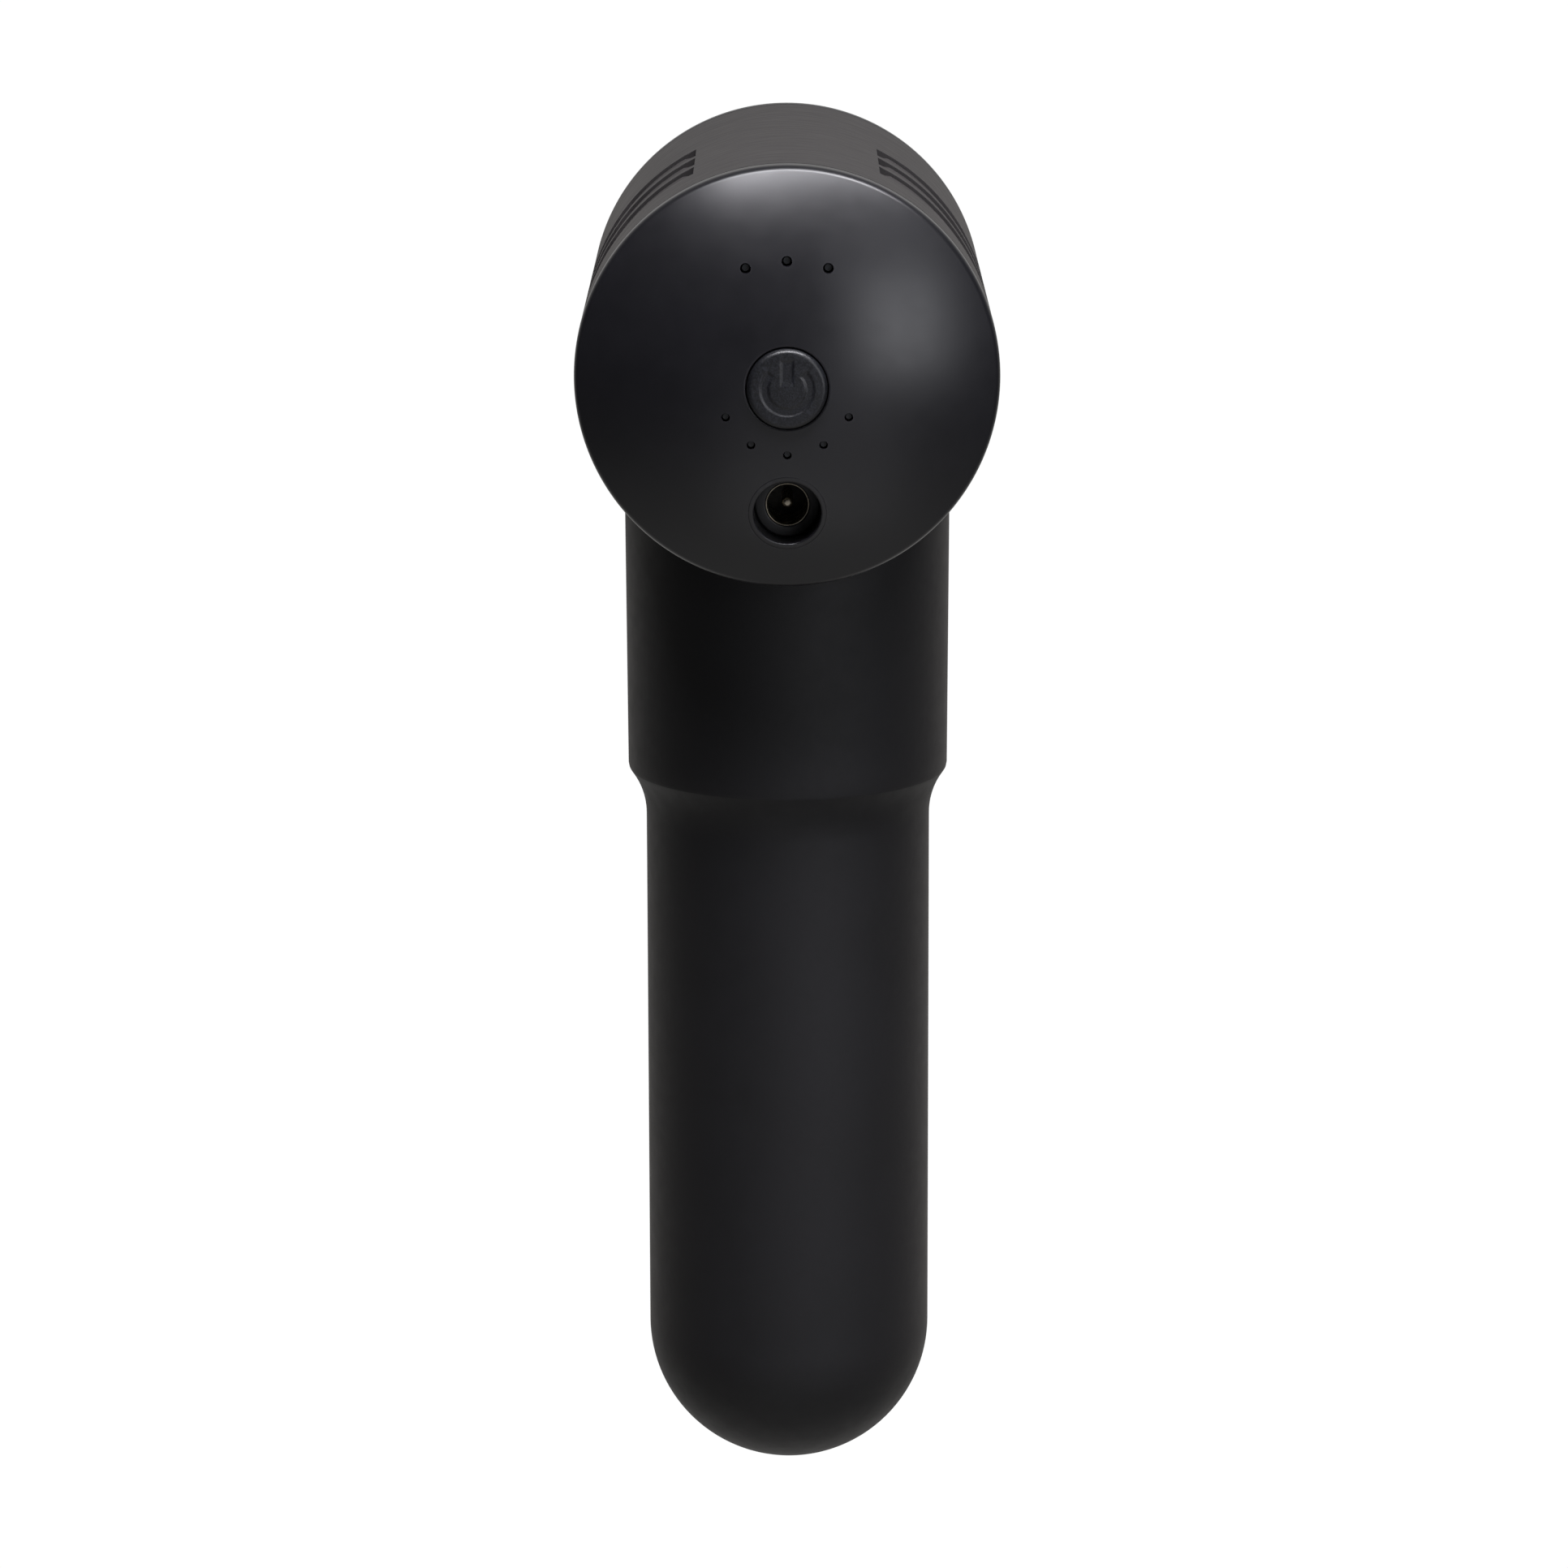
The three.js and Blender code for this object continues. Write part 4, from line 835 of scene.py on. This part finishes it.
def fillet_ring(turns, share, sink):
    """Part of the way round the fillet, from the neck at 0 to the barrel at 1, pressed in by sink."""
    reach = NECK_RADIUS_TOP + NECK_FILLET
    made = []
    for t in turns:
        x, y = reach * math.cos(t), reach * math.sin(t)
        barrel = barrel_radius(y)
        spread = barrel + NECK_FILLET
        height = math.sqrt(spread**2 - x**2)
        centre = Vector((x, y, AXIS_Z - height))
        neck_side = Vector((NECK_RADIUS_TOP * math.cos(t), NECK_RADIUS_TOP * math.sin(t), centre.z))
        barrel_side = Vector((x * barrel / spread, y, AXIS_Z - height * barrel / spread))
        first, last = neck_side - centre, barrel_side - centre
        whole = first.angle(last)
        a, b = math.sin((1 - share) * whole), math.sin(share * whole)
        place = centre + (first * a + last * b) / math.sin(whole)
        inward = Vector((-place.x, 0, AXIS_Z - place.z)).normalized()
        made.append(tuple(place + inward * sink))
    return made


def make_sleeve():
    """The grip's skin: a turned cup whose upper edge sweeps out along the barrel."""
    turns = [2 * math.pi * k / FINE for k in range(FINE)]
    dome_height = DOME_Z - SLEEVE_LOW.z

    def ring(radius, z):
        return [(radius * math.cos(t), radius * math.sin(t), z) for t in turns]

    rows = [ring(r, z) if r > 1e-6 else [(0, 0, z)] for r, z in sleeve_outline(dome_height)]
    start = fillet_ring(turns, 0, 0)
    neck_bottom = ring(NECK_RADIUS, STEP_Z + 0.1)
    for i in range(1, 16):
        rows.append([tuple(Vector(a).lerp(Vector(b), i / 16)) for a, b in zip(neck_bottom, start)])
    rows.extend(fillet_ring(turns, i / 10 * 0.9, 0) for i in range(11))
    rows.append(fillet_ring(turns, 0.93, 0.12))
    rows.append(fillet_ring(turns, 0.94, 0.5))
    inner = NECK_RADIUS - SLEEVE_WALL
    rows.append([(inner * math.cos(t), inner * math.sin(t), z - 0.6) for t, (_, _, z) in zip(turns, start)])
    rows.append(ring(inner, STEP_Z + 0.8))
    rows.append(ring(GRIP_RADIUS - SLEEVE_WALL, STEP_BOTTOM_Z + 2.5))
    cup = arc(0, DOME_Z, GRIP_RADIUS - SLEEVE_WALL, dome_height - SLEEVE_WALL, 0, -90, 16)
    rows.extend(ring(r, z) for r, z in cup[:-1])
    rows.append([(0, 0, cup[-1][1])])
    made = mesh_object("sleeve", [skin(rows)])
    soften(made, 50)
    stand_for("grip_sleeve", made)


# ---------------------------------------------------------------- rear cap and its controls


def light_places(lights):
    """Centres of a row of pinholes about the barrel's axis."""
    middle = (lights["count"] - 1) / 2
    turns = [math.radians(lights["centre"] + (i - middle) * lights["pitch"]) for i in range(lights["count"])]
    return [(lights["radius"] * math.sin(t), AXIS_Z + lights["radius"] * math.cos(t)) for t in turns]


def cap_outline():
    """The cap as (radius, y): the dome from the button's hole outwards, the side, the spigot, the lining."""
    side = CAP_RIM_Y + CAP_SIDE
    groove_start, groove_end, groove_deep = side + 1.5, side + 3.3, 1.1
    spigot_end = side + 6
    spigot_inner = SPIGOT_RADIUS - SPIGOT_WALL
    edge_start = DOME_RADIUS * math.sin(math.radians(DOME_EDGE_ANGLE))
    hole_edge = BUTTON_HOLE_RADIUS + 0.3
    dome = [(r, dome_y(r)) for r in np.linspace(hole_edge, edge_start, 44)]
    lining = [(r, dome_y(r, CAP_WALL)) for r in np.linspace(spigot_inner, BUTTON_HOLE_RADIUS, 20)]
    return rounded(
        [
            (BUTTON_HOLE_RADIUS, dome_y(BUTTON_HOLE_RADIUS) + 0.35),
            (BUTTON_HOLE_RADIUS + 0.06, dome_y(BUTTON_HOLE_RADIUS) + 0.1),
            *dome,
            *arc(
                EDGE_CENTRE_R, CAP_RIM_Y, CAP_EDGE_RADIUS, CAP_EDGE_RADIUS,
                DOME_EDGE_ANGLE - 90, 0, 12,
            )[1:],
            (REAR_RADIUS, side, 0.25),
            (REAR_RADIUS - SEAM_DEPTH, side),
            (REAR_RADIUS - SEAM_DEPTH, side + SEAM - 0.05),
            (SPIGOT_RADIUS, side + SEAM - 0.05),
            (SPIGOT_RADIUS, groove_start),
            (SPIGOT_RADIUS - groove_deep, groove_start),
            (SPIGOT_RADIUS - groove_deep, groove_end),
            (SPIGOT_RADIUS, groove_end),
            (SPIGOT_RADIUS, spigot_end, 0.3),
            (spigot_inner, spigot_end),
            *lining,
        ]
    )


def make_rear_cap():
    made = mesh_object("cap", [turned_y(cap_outline(), FINE)])
    far = CAP_RIM_Y - CAP_HEIGHT - 1
    holes = [
        pin_y(lights["hole"], far, CAP_RIM_Y, x, z, 32)
        for lights in (SPEED_LIGHTS, CHARGE_LIGHTS)
        for x, z in light_places(lights)
    ]
    carve(made, [*holes, pin_y(BEZEL_RADIUS + 0.02, far, CAP_RIM_Y, 0, JACK_Z, FINE)])
    soften(made)
    true_dome_normals(made)
    stand_for("rear_cap", made)


def make_bezel():
    """Ring that lines the socket's recess. Its lip follows the dome."""
    turns = [2 * math.pi * k / MEDIUM for k in range(MEDIUM)]
    low, high = box_mm("socket_bezel")
    flange_radius = (high.x - low.x) / 2
    flange_y = JACK_FACE_Y - 1

    def ring(radius, y):
        return [(radius * math.sin(t), y, JACK_Z + radius * math.cos(t)) for t in turns]

    def lip_ring(radius, depth):
        made = []
        for x, _, z in ring(radius, 0):
            made.append((x, dome_y(math.hypot(x, z - AXIS_Z)) + depth, z))
        return made

    lip = rounded(
        [
            (RECESS_RADIUS, 1.2),
            (RECESS_RADIUS, 0.02, 0.34),
            (BEZEL_RADIUS, 0.02, 0.04),
            (BEZEL_RADIUS, 1.2),
        ]
    )
    rows = [
        ring(RECESS_RADIUS, high.y),
        *[lip_ring(r, depth) for r, depth in lip],
        ring(BEZEL_RADIUS, flange_y),
        ring(flange_radius, flange_y),
        ring(flange_radius, high.y),
    ]
    made = mesh_object("bezel", [skin(rows, loop=True)])
    soften(made)
    stand_for("socket_bezel", made)


def symbol_depth(x, z):
    """0 on the button's face and 1 in the power symbol: an open ring with a bar in its gap."""
    ring_middle, ring_half = 3.40, 0.60
    gap = math.radians(47)
    bar_half, bar_low, bar_high = 0.88, 0.85, 4.30
    radius = math.hypot(x, z)
    turn = abs(math.atan2(x, z))
    ring = max(abs(radius - ring_middle) - ring_half, (gap - turn) * radius)
    bar = max(abs(x) - bar_half, (bar_low - z) * 0.4, z - bar_high)
    inside = -min(ring, bar)
    share = min(1.0, max(0.0, inside / 0.5 + 0.5))
    return share * share * (3 - 2 * share)


def make_button():
    """Crowned key with a debossed power symbol, a flange behind the cap's wall and a post."""
    face = BUTTON_LOW.y
    symbol_mm = 0.17
    crown = 0.0042
    edge_radius = 0.75
    face_radius = BUTTON_RADIUS - edge_radius
    sides = 240
    turns = [2 * math.pi * k / sides for k in range(sides)]

    def face_point(r, t):
        x, z = r * math.sin(t), r * math.cos(t)
        return (x, face + crown * r * r + symbol_mm * symbol_depth(x, z), AXIS_Z + z)

    rows = [[(0, face, AXIS_Z)]]
    rows.extend([face_point(r, t) for t in turns] for r in np.linspace(0.09, face_radius, 62))
    flange = dome_y(BUTTON_RADIUS, CAP_WALL) + 0.7
    shoulder = face + crown * face_radius**2
    edge = arc(face_radius, shoulder + edge_radius, edge_radius, edge_radius, -90, 0, 10)[1:]
    body = [
        *edge,
        (BUTTON_RADIUS, flange),
        (BUTTON_RADIUS + 1.2, flange),
        (BUTTON_RADIUS + 1.2, flange + 0.8),
        (2, flange + 0.8),
        (2, BUTTON_HIGH.y),
    ]
    for r, y in body:
        rows.append([(r * math.sin(t), y, AXIS_Z + r * math.cos(t)) for t in turns])
    rows.append([(0, BUTTON_HIGH.y, AXIS_Z)])
    made = mesh_object("key", [skin(rows)])
    soften(made, 50)
    stand_for("power_button", made)


def make_jack_body():
    """The socket's moulded body: a block whose round boss holds the contacts."""
    low, high = box_mm("jack_body")
    back = high.y
    half = (high.x - low.x) / 2
    seat = JACK_FACE_Y + 1
    bore = JACK_BORE_RADIUS + 0.6
    face = RECESS_RADIUS - 0.15
    boss = rounded(
        [
            (bore, JACK_FACE_Y + 9.5),
            (bore, JACK_FACE_Y + 0.6),
            (JACK_LIP_RADIUS, JACK_FACE_Y + 0.6),
            (JACK_LIP_RADIUS, JACK_FACE_Y, 0.25),
            (face, JACK_FACE_Y, 0.3),
            (face, seat + 0.2),
            (half - 0.1, seat + 0.2),
            (half - 0.1, JACK_FACE_Y + 9.5),
        ]
    )
    body = mesh_object("jack", [block((-half, seat, JACK_Z - half), (half, back, JACK_Z + half))])
    carve(body, [pin_y(half - 0.3, seat - 1, JACK_FACE_Y + 9.5, 0, JACK_Z, MEDIUM)])
    ring = mesh_object("jack_ring", [turned_y(boss, MEDIUM, JACK_Z)])
    joined = bmesh.new()
    joined.from_mesh(body.data)
    joined.from_mesh(ring.data)
    joined.to_mesh(body.data)
    joined.free()
    bpy.data.objects.remove(ring)
    soften(body)
    stand_for("jack_body", body)


def make_jack_contact():
    """The metal sleeve that lines the socket's bore."""
    rim = rounded(
        [
            (JACK_BORE_RADIUS, JACK_HIGH.y),
            (JACK_BORE_RADIUS, JACK_LOW.y + 0.2, 0.06),
            (JACK_LIP_RADIUS - 0.04, JACK_LOW.y + 0.2, 0.04),
            (JACK_LIP_RADIUS - 0.04, JACK_FACE_Y + 0.7),
            (JACK_BORE_RADIUS + 0.5, JACK_FACE_Y + 0.7),
            (JACK_BORE_RADIUS + 0.5, JACK_HIGH.y),
        ]
    )
    turned_piece("jack_sleeve", "contact", rim, MEDIUM, JACK_Z)


def make_jack_pin():
    low, high = box_mm("jack_pin")
    tip = (high.x - low.x) / 2
    pin = rounded([(0, low.y), (tip, low.y, 0.6), (tip, high.y), (0, high.y)], 8)
    turned_piece("jack_pin", "pin", pin, SMALL, JACK_Z)


# ---------------------------------------------------------------- nose, piston and head


def make_front_cap():
    rear = FRONT_LOW.y + 3.6
    nose = FRONT_HIGH.y
    spigot = FRONT_RADIUS - BARREL_WALL - 0.5
    spigot_inner = spigot - SPIGOT_WALL
    edge = arc(FRONT_RADIUS - 4, rear + 1.5, 4, 4, 0, 70, 16)
    collar = (18.6, nose - 6.1)
    outline = rounded(
        [
            (spigot, rear - 3.6),
            (spigot, rear - SEAM + 0.05),
            (FRONT_RADIUS - SEAM_DEPTH, rear - SEAM + 0.05),
            (FRONT_RADIUS - SEAM_DEPTH, rear),
            (FRONT_RADIUS, rear, 0.25),
            *edge,
            *[tuple(Vector(edge[-1]).lerp(Vector(collar), share)) for share in (0.1, 0.85)],
            (*collar, 1.2),
            (17, nose - 5, 0.4),
            (17, nose - 0.2, 0.8),
            (PISTON_RADIUS + 0.9, nose - 0.1, 0.5),
            (PISTON_RADIUS + 0.9, nose - 2.1),
            (13.9, nose - 2.1),
            (13.9, nose - 9.5),
            (spigot_inner, rear + 2.7),
            (spigot_inner, rear - 3.6),
        ],
        8,
    )
    turned_piece("front_cap", "front", outline, FINE)


def make_nose_seal():
    low, high = box_mm("nose_seal")
    outer = (high.x - low.x) / 2
    inner = PISTON_RADIUS + 0.25
    outline = rounded(
        [(inner + 0.6, low.y, 0.2), (outer, low.y, 0.2), (outer, high.y, 0.2), (inner, high.y, 0.25)]
    )
    turned_piece("nose_seal", "seal", outline, MEDIUM)


def make_bushing():
    flange_reach = 1.9
    outer = BUSHING_HIGH.x - flange_reach
    bore = PISTON_RADIUS + 0.1
    flange_start, flange_end = 28.8, 30.4
    outline = rounded(
        [
            (bore, BUSHING_LOW.y, 0.4),
            (outer, BUSHING_LOW.y, 0.4),
            (outer, flange_start),
            (outer + flange_reach, flange_start, 0.2),
            (outer + flange_reach, flange_end, 0.2),
            (outer, flange_end),
            (outer, BUSHING_HIGH.y, 0.4),
            (bore, BUSHING_HIGH.y, 0.4),
        ]
    )
    turned_piece("guide_bushing", "bush", outline, MEDIUM)


def make_piston():
    """Turned plunger with a fork behind for the rod and a socket in front for the head."""
    front = PISTON_HIGH.y
    rear = PISTON_LOW.y
    wrist = box_mm("wrist_pin")
    wrist_y = (wrist[0].y + wrist[1].y) / 2
    slot_half = 3.9
    outline = rounded(
        [
            (0, rear),
            (PISTON_RADIUS, rear, 1.0),
            (PISTON_RADIUS, front, 0.6),
            (SOCKET_RADIUS, front, 0.3),
            (SOCKET_RADIUS, front - SOCKET_DEPTH),
            (0, front - SOCKET_DEPTH),
        ]
    )
    made = mesh_object("plunger", [turned_y(outline, MEDIUM)])
    slot = block((-12, rear - 1, AXIS_Z - slot_half), (12, wrist_y + 9, AXIS_Z + slot_half))
    hole = [(0, AXIS_Z - 12), (3.1, AXIS_Z - 12), (3.1, AXIS_Z + 12), (0, AXIS_Z + 12)]
    verts, faces = turned_z(hole, SMALL)
    pin_hole = ([(x, y + wrist_y, z) for x, y, z in verts], faces)
    carve(made, [slot])
    carve(made, [pin_hole])
    soften(made)
    stand_for("piston", made)


def make_stem():
    stem = (STEM_HIGH.x - STEM_LOW.x) / 2 - 3.1
    flange = 11.0
    rear, front = STEM_LOW.y, STEM_HIGH.y
    seat = PISTON_HIGH.y + 0.3
    face = BALL_LOW.y - 0.3
    outline = rounded(
        [
            (0, rear),
            (stem, rear, 0.7),
            (stem, rear + 3),
            (stem - 0.9, rear + 3),
            (stem - 0.9, rear + 5),
            (stem, rear + 5),
            (stem, seat),
            (flange, seat, 0.5),
            (flange, face, 0.7),
            (6, face),
            (6, front, 0.5),
            (0, front),
        ]
    )
    turned_piece("head_stem", "stem", outline, MEDIUM)


def make_ball():
    """Moulded foam head: a flat face in front, a faint parting line and a socket behind."""
    centre_y = BALL_HIGH.y - 19.5
    rear_angle = math.degrees(math.asin((BALL_LOW.y - centre_y) / BALL_RADIUS))
    front_angle = math.degrees(math.asin((BALL_HIGH.y - centre_y) / BALL_RADIUS))
    shell = arc(0, centre_y, BALL_RADIUS, BALL_RADIUS, front_angle - 2.5, 1.2, 30)
    shell.append((BALL_RADIUS - 0.12, centre_y))
    shell.extend(arc(0, centre_y, BALL_RADIUS, BALL_RADIUS, -1.2, rear_angle + 2, 30))
    face_radius = BALL_RADIUS * math.cos(math.radians(front_angle))
    outline = [
        (0, BALL_HIGH.y),
        *[(face_radius * 0.9 * i / 4, BALL_HIGH.y) for i in range(1, 5)],
        *shell,
        (13, BALL_LOW.y, 1.0),
        (BALL_SOCKET_RADIUS, BALL_LOW.y, 0.4),
        (BALL_SOCKET_RADIUS, STEM_HIGH.y + 0.3),
        (0, STEM_HIGH.y + 0.3),
    ]
    turned_piece("massage_ball", "ball", rounded(outline), FINE, crisp=40)


# ---------------------------------------------------------------- stage, light and camera


def emitter(name, colour, strength):
    look = bpy.data.materials.new(name)
    look.use_nodes = True
    look.node_tree.nodes.clear()
    glow = look.node_tree.nodes.new("ShaderNodeEmission")
    glow.inputs["Color"].default_value = (*colour, 1)
    glow.inputs["Strength"].default_value = strength
    output = look.node_tree.nodes.new("ShaderNodeOutputMaterial")
    look.node_tree.links.new(glow.outputs[0], output.inputs["Surface"])
    return look


def make_stage():
    """A pale floor well below the object and a pale backdrop all round, seen but lighting nothing."""
    reach, far = 6000, 7000
    floor_z = -700
    sides = ((-reach, -reach), (reach, -reach), (reach, reach), (-reach, reach))
    corners = [(x, y, floor_z) for x, y in sides]
    floor = mesh_object("floor", [(corners, [[0, 1, 2, 3]])])
    backdrop = mesh_object("backdrop", [block((-far, -far, floor_z - 200), (far, far, far))])
    for made in (floor, backdrop):
        made.data.materials.append(emitter(f"{made.name}_white", (1.0, 1.0, 1.0), 1.02))
        made.visible_diffuse = False
        made.visible_glossy = False
        made.visible_transmission = False
        made.visible_shadow = False


def softbox(name, direction, distance, width, height, radiance, colour):
    """A rectangular light at a distance from the barrel, facing it. Sizes in metres."""
    data = bpy.data.lights.new(name, "AREA")
    data.shape = "RECTANGLE"
    data.size = width
    data.size_y = height
    data.energy = radiance * math.pi * width * height
    data.color = colour
    made = bpy.data.objects.new(name, data)
    bpy.context.scene.collection.objects.link(made)
    aim = Vector((0, -0.03, 0.12))
    towards = Vector(direction).normalized()
    made.location = aim + towards * distance
    made.rotation_euler = towards.to_track_quat("Z", "Y").to_euler()
    made.visible_camera = False


def make_world():
    """A studio that is white beyond the object, grey below it and dim everywhere else."""
    world = bpy.data.worlds.new("studio")
    bpy.context.scene.world = world
    world.use_nodes = True
    tree = world.node_tree
    background = tree.nodes["Background"]
    place = tree.nodes.new("ShaderNodeTexCoord")
    parts = tree.nodes.new("ShaderNodeSeparateXYZ")
    beyond = tree.nodes.new("ShaderNodeMapRange")
    below = tree.nodes.new("ShaderNodeMapRange")
    total = tree.nodes.new("ShaderNodeMath")
    tree.links.new(place.outputs["Generated"], parts.inputs[0])
    # Along its axis a ramp goes from one place to another, and its strength from one level to another.
    for ramp, axis, limits in (
        (beyond, "Y", (0.10, 0.85, 0.019, 0.52)),
        (below, "Z", (-0.20, -0.95, 0.0, 0.34)),
    ):
        ramp.interpolation_type = "SMOOTHSTEP"
        tree.links.new(parts.outputs[axis], ramp.inputs["Value"])
        for socket, number in zip(ramp.inputs[1:5], limits):
            socket.default_value = number
    tree.links.new(beyond.outputs[0], total.inputs[0])
    tree.links.new(below.outputs[0], total.inputs[1])
    tree.links.new(total.outputs[0], background.inputs["Strength"])
    background.inputs["Color"].default_value = (1.0, 0.985, 0.965, 1)


def make_lights():
    softbox("overhead", (0.10, -0.37, 0.92), 0.95, 0.92, 0.27, 28.0, (0.985, 0.975, 1.03))
    softbox("right", (0.58, -0.80, 0.15), 0.95, 0.38, 0.44, 2.7, (0.96, 0.97, 1.02))
    softbox("right_wash", (0.57, -0.78, 0.26), 1.0, 0.70, 0.90, 0.78, (0.96, 0.97, 1.02))
    softbox("table_bounce", (0.14, -0.85, -0.55), 1.1, 1.0, 1.0, 0.34, (0.98, 0.98, 1.03))


def make_camera():
    """The photo's view: from behind and a little above, on the object's middle plane."""
    place = (-0.0006, -1.0016, 0.2865)
    looking_down = 13.41  # degrees
    leaning = -0.13
    data = bpy.data.cameras.new("camera")
    data.lens = 149.07
    data.sensor_width = 36
    data.clip_start = 0.05
    data.clip_end = 60
    made = bpy.data.objects.new("camera", data)
    bpy.context.scene.collection.objects.link(made)
    pitch = Matrix.Rotation(math.radians(90 - looking_down), 4, "X")
    roll = Matrix.Rotation(math.radians(leaning), 4, "Z")
    made.matrix_world = Matrix.Translation(place) @ pitch @ roll
    bpy.context.scene.camera = made


# ---------------------------------------------------------------- the scene

make_camera()
make_world()
make_lights()
make_stage()

make_housing()
make_sleeve()
make_rear_cap()
make_bezel()
make_button()
make_jack_body()
make_jack_contact()
make_jack_pin()
make_front_cap()
make_nose_seal()
make_bushing()
make_piston()
make_stem()
make_ball()

for node, cad_object in frame["nodes"].items():
    if not cad_object.hide_render:
        dress(cad_object, SLOT_OF[node])

bpy.context.scene.view_settings.view_transform = "Standard"
